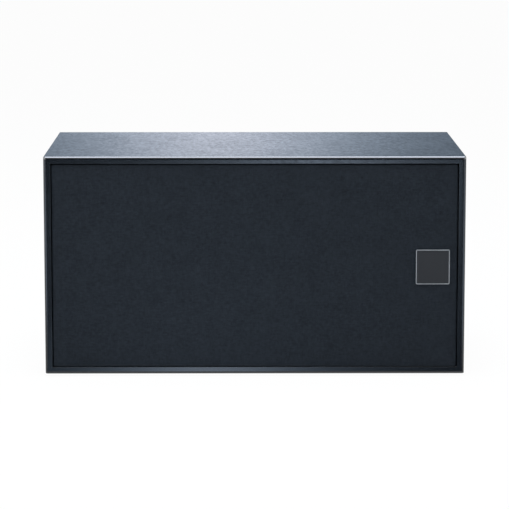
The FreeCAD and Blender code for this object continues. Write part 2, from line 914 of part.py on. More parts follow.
def basket(label, x):
    """Make the cast basket: flange, windowed wall, spider seat, hub and a block for the tabs."""
    depth = size("basket_depth")
    seat = SPIDER_RADIUS - size("seat_width")
    body = turned(label, [
        (LEDGE_RADIUS, 0),
        (FLANGE_RADIUS, 0),
        (FLANGE_RADIUS, size("flange_thick")),
        (BODY_RADIUS, size("flange_thick")),
        (BODY_RADIUS, size("basket_shoulder")),
        (HEEL_RADIUS, HEEL_TOP),
        (HEEL_RADIUS, depth),
        (size("hub_radius"), depth),
        (size("hub_radius"), depth - size("hub_thick")),
        (seat, depth - size("hub_thick")),
        (seat, HEEL_TOP),
        (SPIDER_RADIUS, HEEL_TOP),
        (THROAT_RADIUS, size("basket_shoulder")),
        (THROAT_RADIUS, size("ledge_depth")),
        (LEDGE_RADIUS, size("ledge_depth")),
    ], x, BAFFLE, MID)

    inner = HEEL_RADIUS + size("window_rim")
    outer = THROAT_RADIUS - size("window_rim") * 2
    half_turn = 360 / count("basket_windows") / 3
    window = new_sketch(body, "XZ_Plane", -HEEL_TOP)
    arc = math.tan(math.radians(half_turn) / 2) / 2
    start = TOP_ANGLE - half_turn
    end = TOP_ANGLE + half_turn
    trace(window, [
        at_angle(outer, start),
        (*at_angle(outer, end), arc),
        at_angle(inner, end),
        (*at_angle(inner, start), -arc),
    ])
    cut = pocket(body, window, HEEL_TOP - size("basket_shoulder"), flip=True)
    polar(body, cut, "basket_windows")

    half = size("tab_block_width") / 2
    tab_block = new_sketch(body, "XZ_Plane", -HEEL_TOP)
    rectangle(tab_block, -half, SPIDER_RADIUS, half, TAB_SEAT)
    pad(body, tab_block, size("heel_depth"), flip=True)

    holes = new_sketch(body, "XZ_Plane")
    heads = new_sketch(body, "XZ_Plane")
    for across, up in woofer_screw_spots():
        circle(holes, across, up, size("screw_radius"))
        circle(heads, across, up, size("head_radius") + size("head_play"))
    pocket(body, holes, size("flange_thick"))
    pocket(body, heads, HEAD_SEAT)


def cone(label, x):
    """Make the straight-sided cone with a flat glue rim."""
    rim = size("ledge_depth")
    thick = size("cone_thick")
    turned(label, [
        (RIM_INSIDE, rim),
        (CONE_RADIUS, rim),
        (CONE_RADIUS, rim + thick),
        (RIM_INSIDE, rim + thick),
        (FORMER_RADIUS, size("cone_neck_depth") + thick),
        (FORMER_RADIUS, size("cone_neck_depth")),
    ], x, BAFFLE, MID)


def dust_cap(label, x):
    """Make the domed cap over the coil, its foot lying on the cone."""
    outer = size("cap_radius")
    inner = outer - size("cap_foot")
    dome = tangent_bend(outer, size("cap_rise"))
    apex = cone_front(outer) - size("cap_rise")
    turned(label, [
        (outer, cone_front(outer), dome),
        (inner, cone_front(inner)),
        (0, apex + size("cap_thick"), -dome),
        (0, apex),
    ], x, BAFFLE, MID)


def surround(label, x):
    """Make the rubber half roll between the cone's rim and the basket's ledge."""
    back = size("ledge_depth")
    front = back - size("roll_thick")
    inner = CONE_RADIUS
    outer = THROAT_RADIUS + size("basket_wall")
    thick = size("roll_thick")
    turned(label, [
        (RIM_INSIDE, back),
        (inner + thick, back),
        (inner + thick, front),
        (outer - thick, front, HALF),
        (outer - thick, back),
        (LEDGE_RADIUS, back),
        (LEDGE_RADIUS, front),
        (outer, front),
        (inner, front, -HALF),
        (RIM_INSIDE, front),
    ], x, BAFFLE, MID)


def spider(label, x):
    """Make the corrugated disc that centres the coil."""
    waves = count("spider_waves")
    inner = FORMER_RADIUS
    seat = SPIDER_RADIUS - size("seat_width")
    back = HEEL_TOP
    front = back - size("spider_thick")
    step = (seat - inner) / waves
    wave = size("spider_wave")
    crests = [(inner + step * (number + HALF), wave * (-1) ** number) for number in range(waves)]
    there = [(radius, back + rise) for radius, rise in crests]
    again = [(radius, front + rise) for radius, rise in reversed(crests)]
    turned(label, [
        (inner, back),
        *there,
        (seat, back),
        (SPIDER_RADIUS, back),
        (SPIDER_RADIUS, front),
        (seat, front),
        *again,
        (inner, front),
    ], x, BAFFLE, MID)


def voice_coil(label, x):
    """Make the coil former with its winding in the magnet's gap."""
    start = GAP_MIDDLE - size("winding_length") / 2
    end = GAP_MIDDLE + size("winding_length") / 2
    top = size("cone_neck_depth") - size("cone_thick")
    turned(label, [
        (size("coil_radius"), top),
        (FORMER_RADIUS, top),
        (FORMER_RADIUS, start),
        (COIL_OUTSIDE, start),
        (COIL_OUTSIDE, end),
        (size("coil_radius"), end),
    ], x, BAFFLE, MID)


def woofer_motor(prefix, x):
    """Make the top plate, the ring magnet and the vented yoke behind the basket."""
    plate_front = size("basket_depth")
    magnet_front = plate_front + size("plate_thick")
    bore = COIL_OUTSIDE + size("coil_gap")
    turned(f"{prefix}_top_plate", [
        (bore, plate_front),
        (PLATE_RADIUS, plate_front),
        (PLATE_RADIUS, magnet_front),
        (bore, magnet_front),
    ], x, BAFFLE, MID)
    turned(f"{prefix}_magnet", [
        (size("magnet_bore"), magnet_front),
        (HEEL_RADIUS, magnet_front),
        (HEEL_RADIUS, YOKE_FRONT),
        (size("magnet_bore"), YOKE_FRONT),
    ], x, BAFFLE, MID)
    pole = size("coil_radius") - size("coil_gap")
    back = YOKE_FRONT + size("yoke_thick")
    bevel = size("yoke_bevel")
    turned(f"{prefix}_yoke", [
        (size("vent_radius"), plate_front),
        (pole, plate_front),
        (pole, YOKE_FRONT),
        (PLATE_RADIUS, YOKE_FRONT),
        (PLATE_RADIUS, back - bevel),
        (PLATE_RADIUS - bevel, back),
        (size("vent_radius") + bevel, back),
        (size("vent_radius"), back - bevel),
    ], x, BAFFLE, MID)


def woofer(side_name):
    """Make one woofer, piece by piece."""
    x = SIDES[side_name] * WOOFER_X
    prefix = f"woofer_{side_name}"
    basket(f"{prefix}_basket", x)
    cone(f"{prefix}_cone", x)
    dust_cap(f"{prefix}_dust_cap", x)
    surround(f"{prefix}_surround", x)
    spider(f"{prefix}_spider", x)
    voice_coil(f"{prefix}_voice_coil", x)
    woofer_motor(prefix, x)


def woofer_gaskets():
    """Make the two sealing rings under the woofer flanges."""
    inner = CUTOUT_RADIUS
    outer = inner + size("gasket_width")
    front = size("flange_thick")
    back = front + size("gasket_thick")
    section = [(inner, front), (outer, front), (outer, back), (inner, back)]
    ring = turned("gasket_master", section, is_part=False)
    spots = [(side * WOOFER_X, BAFFLE, MID) for side in SIDES.values()]
    bundle("woofer_gaskets", copies("gasket", ring, spots))


def driver_screws():
    """Make the screws that hold the three drive units."""
    screw = turned("driver_screw_master", [
        (0, size("screw_sink")),
        (size("head_radius"), size("screw_sink")),
        (size("head_radius"), HEAD_SEAT),
        (size("screw_radius"), HEAD_SEAT),
        (size("screw_radius"), size("screw_length")),
        (0, size("screw_length")),
    ], is_part=False)
    spots = [(x, BAFFLE, MID + z) for x, z in driver_screw_spots()]
    bundle("driver_screws", copies("driver_screw", screw, spots))


# Tweeter

RING_FRONT = size("tweeter_body")
TWEETER_PLATE_FRONT = RING_FRONT + size("dome_thick")
TWEETER_MAGNET_FRONT = TWEETER_PLATE_FRONT + size("tweeter_plate_thick")
TWEETER_YOKE_FRONT = TWEETER_MAGNET_FRONT + size("tweeter_magnet_thick")
TWEETER_COIL_OUTSIDE = size("dome_radius") + size("tweeter_coil_thick")
TWEETER_TAB = size("tweeter_cutout") - size("tab_margin") - size("tab_thick")


def tweeter_faceplate():
    """Make the round plate with its short flared horn."""
    outside = size("tweeter_cutout") - size("flange_fit")
    flare = tangent_bend(size("horn_mouth") - size("horn_throat"), size("horn_depth"))
    body = turned("tweeter_faceplate", [
        (size("horn_mouth"), 0, flare),
        (size("tweeter_radius"), 0),
        (size("tweeter_radius"), size("tweeter_thick")),
        (outside, size("tweeter_thick")),
        (outside, RING_FRONT),
        (size("horn_throat"), RING_FRONT),
        (size("horn_throat"), size("horn_depth")),
    ], 0, BAFFLE, MID)
    holes = new_sketch(body, "XZ_Plane")
    heads = new_sketch(body, "XZ_Plane")
    for across, up in tweeter_screw_spots():
        circle(holes, across, up, size("screw_radius"))
        circle(heads, across, up, size("head_radius") + size("head_play"))
    pocket(body, holes, size("tweeter_thick"))
    pocket(body, heads, HEAD_SEAT)


def tweeter_dome():
    """Make the soft dome, its own roll and its mounting ring as one moulding."""
    thick = size("dome_thick")
    base = RING_FRONT
    apex = base - size("dome_rise")
    dome = tangent_bend(size("dome_radius"), size("dome_rise"))
    roll = (size("dome_roll_rise") / (size("horn_throat") - size("dome_radius"))).value
    turned("tweeter_dome", [
        (0, apex),
        (size("dome_radius"), base, dome),
        (size("horn_throat"), base, roll),
        (size("dome_ring"), base),
        (size("dome_ring"), base + thick),
        (size("horn_throat"), base + thick),
        (size("dome_radius"), base + thick, -roll),
        (0, apex + thick, -dome),
    ], 0, BAFFLE, MID)


def tweeter_motor():
    """Make the tweeter's coil, top plate, magnet and yoke."""
    inner = size("dome_radius")
    bore = TWEETER_COIL_OUTSIDE + size("tweeter_gap")
    coil_end = TWEETER_PLATE_FRONT + size("tweeter_coil_length")
    turned("tweeter_voice_coil", [
        (inner, TWEETER_PLATE_FRONT),
        (TWEETER_COIL_OUTSIDE, TWEETER_PLATE_FRONT),
        (TWEETER_COIL_OUTSIDE, coil_end),
        (inner, coil_end),
    ], 0, BAFFLE, MID)
    turned("tweeter_top_plate", [
        (bore, TWEETER_PLATE_FRONT + size("dome_thick")),
        (size("horn_throat"), TWEETER_PLATE_FRONT),
        (size("tweeter_plate_radius"), TWEETER_PLATE_FRONT),
        (size("tweeter_plate_radius"), TWEETER_MAGNET_FRONT),
        (bore, TWEETER_MAGNET_FRONT),
    ], 0, BAFFLE, MID)
    turned("tweeter_magnet", [
        (size("tweeter_magnet_bore"), TWEETER_MAGNET_FRONT),
        (size("tweeter_magnet_radius"), TWEETER_MAGNET_FRONT),
        (size("tweeter_magnet_radius"), TWEETER_YOKE_FRONT),
        (size("tweeter_magnet_bore"), TWEETER_YOKE_FRONT),
    ], 0, BAFFLE, MID)
    pole = inner - size("tweeter_gap")
    back = TWEETER_YOKE_FRONT + size("tweeter_yoke_thick")
    turned("tweeter_yoke", [
        (0, TWEETER_PLATE_FRONT + size("dome_thick")),
        (pole, TWEETER_PLATE_FRONT + size("dome_thick")),
        (pole, TWEETER_YOKE_FRONT),
        (size("tweeter_plate_radius"), TWEETER_YOKE_FRONT),
        (size("tweeter_plate_radius"), back),
        (0, back),
    ], 0, BAFFLE, MID)


def driver_tabs():
    """Make the blades that the leads push on to: two on each drive unit."""
    half = size("tab_width") / 2
    tab = block("tab_master", 0, 0, 0, size("tab_width"), size("tab_length"), size("tab_thick"))
    spots = []
    for pole in (-1, 1):
        across = pole * size("tab_pitch") / 2 - half
        for side in SIDES.values():
            spots.append((side * WOOFER_X + across, BAFFLE + TAB_START, MID + TAB_SEAT))
        spots.append((across, BAFFLE + RING_FRONT, MID + TWEETER_TAB))
    bundle("driver_tabs", copies("tab", tab, spots))


# Terminal cup and binding posts

POLES = {"red": -1, "black": 1}
BASE_TOP = size("cup_wall") + size("base_thick")
WASHER_TOP = BASE_TOP + size("cap_nut_gap") + size("washer_thick")
CAP_FOOT = WASHER_TOP + size("cap_nut_gap")


def terminal_cup():
    """Make the moulded cup that the binding posts stand in."""
    body = new_body("terminal_cup", y=REAR, z=MID + CUP_Z)
    across = size("cup_width") / 2
    up = size("cup_height") / 2
    flange = size("cup_flange")
    corner = size("cup_round")
    outline = new_sketch(body, "XZ_Plane")
    rounded_rectangle(outline, -across - flange, -up - flange, across + flange, up + flange, corner)
    pad(body, outline, size("cup_flange_thick"))
    box = new_sketch(body, "XZ_Plane")
    rounded_rectangle(box, -across, -up, across, up, corner)
    pad(body, box, size("cup_depth"))

    inset = size("cup_wall")
    hollow = new_sketch(body, "XZ_Plane")
    rounded_rectangle(hollow, inset - across, inset - up, across - inset, up - inset, corner - inset)
    pocket(body, hollow, size("cup_depth") - inset, flip=True)

    posts = new_sketch(body, "XZ_Plane")
    for pole in POLES.values():
        circle(posts, pole * size("post_spacing") / 2, 0, size("stud_radius"))
    pocket(body, posts, size("cup_depth"), flip=True)

    holes = new_sketch(body, "XZ_Plane")
    heads = new_sketch(body, "XZ_Plane")
    for x, z in cup_screw_spots():
        circle(holes, x, z, size("cup_screw_radius"))
        circle(heads, x, z, size("cup_screw_head") + size("head_play"))
    pocket(body, holes, size("cup_flange_thick"), flip=True)
    pocket(body, heads, size("cup_screw_sink"), flip=True)


def terminal_cup_screws():
    """Make the four flush screws of the terminal cup."""
    screw = turned("cup_screw_master", [
        (0, -size("cup_screw_length")),
        (size("cup_screw_radius"), -size("cup_screw_length")),
        (size("cup_screw_radius"), -size("cup_screw_sink")),
        (size("cup_screw_head"), -size("cup_screw_sink")),
        (size("cup_screw_head"), 0),
        (0, 0),
    ], is_part=False)
    spots = [(x, REAR, MID + CUP_Z + z) for x, z in cup_screw_spots()]
    bundle("terminal_cup_screws", copies("cup_screw", screw, spots))


def binding_post(colour):
    """Make one binding post: bored stud, insulating base, clamp washer and fluted cap."""
    spot = (POLES[colour] * size("post_spacing") / 2, CUP_BACK, MID + CUP_Z)
    radius = size("stud_radius")
    tip = size("cup_wall") + size("stud_reach")
    floor = tip - size("bore_depth")
    turned(f"{colour}_post_stud", [
        (0, -size("stud_tail")),
        (radius, -size("stud_tail")),
        (radius, tip),
        (size("socket_bore"), tip),
        (size("socket_bore"), floor),
        (0, floor),
    ], *spot)
    bevel = size("post_bevel")
    turned(f"{colour}_post_base", [
        (radius, size("cup_wall")),
        (size("base_radius"), size("cup_wall")),
        (size("base_radius"), BASE_TOP - bevel),
        (size("base_radius") - bevel, BASE_TOP),
        (radius, BASE_TOP),
    ], *spot)
    loose = radius + size("thread_play")
    turned(f"{colour}_post_washer", [
        (loose, WASHER_TOP - size("washer_thick")),
        (size("washer_radius"), WASHER_TOP - size("washer_thick")),
        (size("washer_radius"), WASHER_TOP),
        (loose, WASHER_TOP),
    ], *spot)
    top = CAP_FOOT + size("cap_nut_length")
    outside = size("cap_nut_radius")
    cap = turned(f"{colour}_post_cap", [
        (loose, CAP_FOOT),
        (outside - bevel, CAP_FOOT),
        (outside, CAP_FOOT + bevel),
        (outside, top - bevel),
        (outside - bevel, top),
        (loose, top),
    ], *spot)
    flute = new_sketch(cap, "XZ_Plane", -CAP_FOOT)
    circle(flute, 0, outside, size("flute_radius"))
    polar(cap, pocket(cap, flute, size("cap_nut_length")), "flutes")


def post_nuts():
    """Make the hexagon nuts that clamp the studs to the cup."""
    nut = new_body("post_nut_master", is_part=False)
    section = new_sketch(nut, "XZ_Plane")
    trace(section, around(size("post_nut_across") / math.sqrt(3), count("post_nut_sides"), 0))
    circle(section, 0, 0, size("stud_radius"))
    pad(nut, section, size("post_nut_thick"))
    across = size("post_spacing") / 2
    spots = [(pole * across, CUP_BACK, MID + CUP_Z) for pole in POLES.values()]
    bundle("post_nuts", copies("post_nut", nut, spots))


# Crossover

CONNECTOR_FRONT = BOARD_FRONT - size("connector_height")
WOOFER_LEAD_Z = MID + TAB_SEAT + size("tab_thick") / 2
TWEETER_LEAD_Z = MID + TWEETER_TAB + size("tab_thick") / 2
BOARD_LOW = BOARD_Z - size("board_height") / 2
BOARD_SIDE = size("board_width") / 2


def crossover_board():
    """Make the circuit board, its standoffs and its screws."""
    body = new_body("crossover_board", y=BOARD_FRONT, z=BOARD_Z)
    up = size("board_height") / 2
    outline = new_sketch(body, "XZ_Plane")
    rectangle(outline, -BOARD_SIDE, -up, BOARD_SIDE, up)
    for x, z in standoff_spots():
        circle(outline, x, z, size("cup_screw_radius"))
    pad(body, outline, size("board_thick"), flip=True)

    bore = size("cup_screw_radius")
    standoff = turned("standoff_master", [
        (bore, 0),
        (size("standoff_radius"), 0),
        (size("standoff_radius"), size("standoff_length")),
        (bore, size("standoff_length")),
    ], is_part=False)
    back = BOARD_FRONT + size("board_thick")
    spots = [(x, back, BOARD_Z + z) for x, z in standoff_spots()]
    bundle("board_standoffs", copies("standoff", standoff, spots))

    tip = size("board_thick") + size("standoff_length") + size("board_screw_bite")
    screw = turned("board_screw_master", [
        (0, -size("cup_screw_sink")),
        (size("cup_screw_head"), -size("cup_screw_sink")),
        (size("cup_screw_head"), 0),
        (bore, 0),
        (bore, tip),
        (0, tip),
    ], is_part=False)
    spots = [(x, BOARD_FRONT, BOARD_Z + z) for x, z in standoff_spots()]
    bundle("board_screws", copies("board_screw", screw, spots))


def choke(name, radius, high, across, up):
    """Make one coil on its bobbin, standing on the board."""
    lip = size("coil_flange")
    bore = size("choke_bore")
    return turned(name, [
        (bore, -high),
        (radius, -high),
        (radius, lip - high),
        (radius - lip, lip - high),
        (radius - lip, -lip),
        (radius, -lip),
        (radius, 0),
        (bore, 0),
    ], across, BOARD_FRONT, BOARD_Z + up, is_part=False)


def crossover_pieces():
    """Make the coils, capacitors, resistors and connectors on the board."""
    row = size("board_height") / 2 - size("standoff_inset") * 2
    big = size("woofer_choke_radius")
    small = size("tweeter_choke_radius")
    column = BOARD_SIDE - size("connector_depth") - size("standoff_inset")
    bundle("inductors", [
        choke("woofer_choke", big, size("woofer_choke_height"), big - column, row - big + small / 4),
        choke("tweeter_choke", small, size("tweeter_choke_height"), column - small * 2, row - small / 2),
    ])

    radius, half = size("capacitor_radius"), size("capacitor_length") / 2
    bevel = size("capacitor_bevel")
    capacitor = new_body("capacitor_master", is_part=False)
    section = new_sketch(capacitor, "XY_Plane")
    trace(section, [
        (-half, 0),
        (half, 0),
        (half, radius - bevel),
        (half - bevel, radius),
        (bevel - half, radius),
        (-half, radius - bevel),
    ])
    revolve(capacitor, section, "H_Axis")
    deep = BOARD_FRONT - radius
    spots = [(0, deep, BOARD_Z + row), (0, deep, BOARD_Z + row - radius * 2 - bevel)]
    bundle("capacitors", copies("capacitor", capacitor, spots))

    side = size("resistor_side")
    resistor = block("resistor_master", 0, 0, 0, size("resistor_length"), side, side)
    left = column - size("resistor_length")
    spots = [(left, BOARD_FRONT - side, BOARD_Z - side * step) for step in (2, 3.5)]
    bundle("resistors", copies("resistor", resistor, spots))

    high, deep = size("connector_height"), size("connector_depth")
    low = WOOFER_LEAD_Z - deep / 2
    tweeter_low = TWEETER_LEAD_Z - deep / 2
    narrow = size("tab_pitch") + deep / 2
    wide = size("post_spacing") + deep
    bundle("board_connectors", [
        block("connector_left", -BOARD_SIDE, CONNECTOR_FRONT, low, deep, high, deep),
        block("connector_right", BOARD_SIDE - deep, CONNECTOR_FRONT, low, deep, high, deep),
        block("connector_tweeter", -narrow / 2, CONNECTOR_FRONT, tweeter_low, narrow, high, deep),
        block("connector_input", -wide / 2, CONNECTOR_FRONT, BOARD_LOW, wide, high, deep),
    ])


def leads(colour):
    """Make one pole's inner leads: to each woofer, to the tweeter and from its binding post."""
    body = new_body(f"{colour}_leads")
    pole = POLES[colour]
    across = pole * size("tab_pitch") / 2
    bend = (WOOFER_X - size("tab_pitch") / 2 - BOARD_SIDE) * size("lead_bend_share")
    start = BAFFLE + TAB_START + size("tab_length")
    middle = BOARD_FRONT - size("connector_height") / 2
    for side in SIDES.values():
        x = side * WOOFER_X + across
        turn = middle + pole * side * size("lead_pitch") / 2
        route = new_sketch(body, "XY_Plane", WOOFER_LEAD_Z)
        trace(route, [
            (x, start),
            (x, turn - bend),
            (x - side * bend, turn, side * QUARTER),
            (side * BOARD_SIDE, turn),
        ], closed=False)
        section = new_sketch(body, "XZ_Plane", -start)
        circle(section, x, WOOFER_LEAD_Z, size("lead_radius"))
        pipe = body.newObject("PartDesign::AdditivePipe", f"{colour}_woofer_lead")
        pipe.Profile = section
        pipe.Spine = (route, [])
        DOC.recompute()

    start = BAFFLE + RING_FRONT + size("tab_length")
    tweeter_lead = new_sketch(body, "XZ_Plane", -start)
    circle(tweeter_lead, across, TWEETER_LEAD_Z, size("lead_radius"))
    pad(body, tweeter_lead, CONNECTOR_FRONT - start, flip=True)

    low = MID + CUP_Z + size("stud_radius")
    post_lead = new_sketch(body, "XY_Plane", low)
    deep = (STUD_TAIL_END + CUP_BACK - size("post_nut_thick")) / 2
    circle(post_lead, pole * size("post_spacing") / 2, deep, size("lead_radius"))
    pad(body, post_lead, BOARD_LOW - low)


def write_parts():
    """See that every object and part is sound, then write one file for each part."""
    DOC.recompute()
    for item in DOC.Objects:
        if "Invalid" in item.State or "Error" in item.State:
            raise ValueError(f"{item.Label} did not build")
    for part in PARTS:
        if part.Shape.isNull() or not part.Shape.isValid():
            raise ValueError(f"{part.Label} is not a sound shape")
    os.makedirs("parts", exist_ok=True)
    for part in PARTS:
        part.Shape.exportStep(f"parts/{part.Label}.step")


cabinet_wrap()
front_baffle()
rear_panel()
window_brace()
rubber_feet()
grille_frame()
grille_cloth()
grille_pegs()
peg_sockets()
badge_plate()
for side_name in SIDES:
    damping_pad(side_name)
    woofer(side_name)
woofer_gaskets()
driver_screws()
tweeter_faceplate()
tweeter_dome()
tweeter_motor()
driver_tabs()
terminal_cup()
terminal_cup_screws()
post_nuts()
crossover_board()
crossover_pieces()
for colour in POLES:
    binding_post(colour)
    leads(colour)
write_parts()
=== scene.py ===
"""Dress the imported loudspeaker: finer meshes over its solids, procedural finishes, light and camera."""

from __future__ import annotations

import logging
import math
from dataclasses import dataclass
from enum import Enum
from typing import Callable, Iterable, Optional, Sequence, Union

import bmesh
import bpy
from bmesh import ops
from bmesh.types import BMEdge, BMesh, BMFace, BMVert
from bpy.types import Material, Object, World
from mathutils import Matrix, Vector


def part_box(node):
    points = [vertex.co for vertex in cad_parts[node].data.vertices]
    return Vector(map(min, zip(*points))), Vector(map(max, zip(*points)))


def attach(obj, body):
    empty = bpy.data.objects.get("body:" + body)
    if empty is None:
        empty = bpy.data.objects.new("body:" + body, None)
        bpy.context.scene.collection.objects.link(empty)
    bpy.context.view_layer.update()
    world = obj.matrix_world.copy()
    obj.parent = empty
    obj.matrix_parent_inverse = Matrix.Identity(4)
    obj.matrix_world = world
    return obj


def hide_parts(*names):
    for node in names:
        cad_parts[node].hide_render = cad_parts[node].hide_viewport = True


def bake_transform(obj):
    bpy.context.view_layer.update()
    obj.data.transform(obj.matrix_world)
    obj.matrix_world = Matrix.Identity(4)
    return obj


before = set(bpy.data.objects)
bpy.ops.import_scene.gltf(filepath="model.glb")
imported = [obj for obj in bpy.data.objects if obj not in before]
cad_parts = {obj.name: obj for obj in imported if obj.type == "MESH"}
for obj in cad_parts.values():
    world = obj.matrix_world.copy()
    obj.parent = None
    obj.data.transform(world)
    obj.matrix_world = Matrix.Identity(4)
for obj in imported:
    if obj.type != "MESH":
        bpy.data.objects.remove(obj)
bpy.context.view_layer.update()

LOG = logging.getLogger("loudspeaker")
MM = 0.001
NEAR = 0.01 * MM
FACING = 0.9
SHARP = 30
RIM_SHARP = 50
UPRIGHT = Matrix.Rotation(math.radians(90), 3, "X")

Colour = tuple[float, float, float]
Spot = tuple[float, float, float]
Pair = tuple[float, float]
Number = Union[int, float]
Operand = Union["Value", Number]
Paint = Union["Value", Colour, Vector]


class Side(Enum):
    """The two sides, as the camera sees them."""

    LEFT = "left"
    RIGHT = "right"


# Shader expressions


def operator(name: str) -> Callable[[Value, Operand], Value]:
    """Return a method that works on a value and another by a Math node."""
    return lambda value, other: value.math(name, other)


class Value:
    """A shader socket that takes part in Python expressions."""

    def __init__(self, shader: Shader, socket: bpy.types.NodeSocket) -> None:
        """Wrap a socket of a shader's tree."""
        self.shader = shader
        self.socket = socket

    def pick(self, output: Union[int, str]) -> Value:
        """Return another output of the same node."""
        return Value(self.shader, self.socket.node.outputs[output])

    def math(self, operation: str, *others: Operand) -> Value:
        """Add a Math node that works on this value first."""
        inputs = dict(enumerate((self, *others)))
        return self.shader.node("ShaderNodeMath", {"operation": operation}, inputs)

    __add__ = __radd__ = operator("ADD")
    __mul__ = __rmul__ = operator("MULTIPLY")
    __sub__ = operator("SUBTRACT")
    __gt__ = operator("GREATER_THAN")

    def __rsub__(self, other: Number) -> Value:
        """Take this value from a number."""
        return (self * -1) + other

    def __abs__(self) -> Value:
        """Return the size without its sign."""
        return self.math("ABSOLUTE")


class Shader:
    """A node tree that is filled by expressions."""

    def __init__(self, owner: Union[Material, World]) -> None:
        """Empty a tree.

        Args:
            owner: The material or the world that has it.
        """
        owner.use_nodes = True
        self.tree = owner.node_tree
        self.tree.nodes.clear()

    def node(
        self,
        kind: str,
        settings: Optional[dict] = None,
        inputs: Optional[dict] = None,
        output: Union[int, str] = 0,
    ) -> Optional[Value]:
        """Add a node.

        Args:
            kind: The node's type.
            settings: Properties, which are set first.
            inputs: Values or links by the socket's number or name.
            output: The output to return.

        Returns:
            The output as a value for further expressions; none for the node that ends a tree.
        """
        made = self.tree.nodes.new(kind)
        for key, setting in (settings or {}).items():
            setattr(made, key, setting)
        for key, source in (inputs or {}).items():
            if isinstance(source, Value):
                self.tree.links.new(source.socket, made.inputs[key])
            else:
                made.inputs[key].default_value = source
        return Value(self, made.outputs[output]) if made.outputs else None

    def place(self) -> Value:
        """Return Object coordinates."""
        return self.node("ShaderNodeTexCoord", output="Object")

    def parts(self, vector: Value) -> tuple[Value, Value, Value]:
        """Return the three numbers of a vector."""
        split = self.node("ShaderNodeSeparateXYZ", inputs={0: vector})
        return split, split.pick(1), split.pick(2)

    def stretched(self, vector: Value, scale: Spot) -> Value:
        """Return a vector scaled axis by axis."""
        return self.node("ShaderNodeMapping", inputs={"Vector": vector, "Scale": scale})

    def noise(self, vector: Value, scale: float, detail: float = 2, rough: float = 0.5) -> Value:
        """Return noise between 0 and 1."""
        inputs = {"Vector": vector, "Scale": scale, "Detail": detail, "Roughness": rough}
        return self.node("ShaderNodeTexNoise", inputs=inputs)

    def mix(self, share: Value, first: Paint, second: Paint) -> Value:
        """Return the first colour, mixed with a share of the second."""
        ends = [end if isinstance(end, Value) else (*end, 1) for end in (first, second)]
        return self.node("ShaderNodeMix", {"data_type": "RGBA"}, {0: share, 6: ends[0], 7: ends[1]}, 2)

    def shade(self, colour: Colour, tone: Value, low: float, high: float) -> Value:
        """Return a colour that runs from low to high times itself with tone."""
        ends = [tuple(min(1.0, part * times) for part in colour) for times in (low, high)]
        return self.mix(tone, ends[0], ends[1])

    def bump(self, height: Value, strength: float, distance: float) -> Value:
        """Return a normal that follows a height between 0 and 1, with its distance in metres."""
        inputs = {"Strength": strength, "Distance": distance, "Height": height}
        return self.node("ShaderNodeBump", inputs=inputs)

    def surface(self, **inputs: Union[Value, Number, tuple]) -> None:
        """End the tree in a Principled shader; an input's words are joined by underscores."""
        named = {key.replace("_", " "): value for key, value in inputs.items()}
        self.end(self.node("ShaderNodeBsdfPrincipled", inputs=named))

    def end(self, made: Value) -> None:
        """End a material's tree in a shader."""
        self.node("ShaderNodeOutputMaterial", inputs={"Surface": made})


# Finishes: scales are cells in a metre, unless they say otherwise


@dataclass(frozen=True)
class Finish:
    """A surface finish: its own name, colour and roughness."""

    name: str
    colour: Colour
    roughness: float

    def dress(self, shader: Shader) -> None:
        """Fill the material's empty tree."""
        raise NotImplementedError

    def material(self) -> Material:
        """Find this finish's material, or make it the first time.

        Returns:
            The material.
        """
        name = f"finish_{self.name}"
        found = bpy.data.materials.get(name)
        if found is None:
            found = bpy.data.materials.new(name)
            self.dress(Shader(found))
        return found


@dataclass(frozen=True)
class CladGrain(Finish):
    """Satin vinyl with a fine wood-like grain along the board; a strong clear coat on its front top
    rounding alone is a painted highlight that raises the reflection there.
    """

    streak: float = 55.0
    fine: float = 560.0
    figure: float = 0.22
    pore: float = 420.0
    satin: Spot = (260, 95, 260)
    cloud: Spot = (28, 12, 28)
    sideways: float = 0.7
    rising: float = 0.1
    highlight_coat_ior: float = 2.4

    def dress(self, shader: Shader) -> None:
        """Run the grain along X on the top and front, and along Z on the sides.

        Args:
            shader: The empty tree.
        """
        place = shader.place()
        normal = shader.node("ShaderNodeNewGeometry", output="Normal")
        across, inward, upward = shader.parts(normal)
        side = abs(across) > self.sideways
        # Painted highlight: a high-index clear coat only where the front top rounding faces half up, so
        # the lamps' reflection along that edge shows as a bright line; no real seal.
        edge_highlight = (inward * (inward + 1) * -4 * (upward > self.rising)).math("MAXIMUM", 0)
        along = shader.stretched(place, (self.streak, self.fine, self.fine))
        upright = shader.stretched(place, (self.fine, self.fine, self.streak))
        ways = {0: side, 4: along, 5: upright}
        grain = shader.node("ShaderNodeMix", {"data_type": "VECTOR"}, ways, output=1)
        fibres = shader.noise(grain, 1.0, detail=3, rough=0.6)
        figure = shader.noise(grain, self.figure, detail=3, rough=0.65)
        pores = shader.noise(place, self.pore, detail=3, rough=0.6)
        bloom = shader.noise(shader.stretched(place, self.satin), 1.0, detail=3)
        cloud = shader.noise(shader.stretched(place, self.cloud), 1.0)
        tone = (fibres * 0.4 + figure * 0.6 - 0.5) * 1.6 + 0.5
        shader.surface(
            Base_Color=shader.shade(self.colour, tone, low=0.35, high=1.65),
            Roughness=bloom * 0.15 + cloud * 0.05 + fibres * 0.06 + (self.roughness - 0.13),
            IOR=1.5,
            Coat_Weight=edge_highlight,
            Coat_IOR=self.highlight_coat_ior,
            Coat_Roughness=0.12,
            Normal=shader.bump(fibres * 0.4 + pores * 0.6, strength=0.15, distance=0.08 * MM),
        )


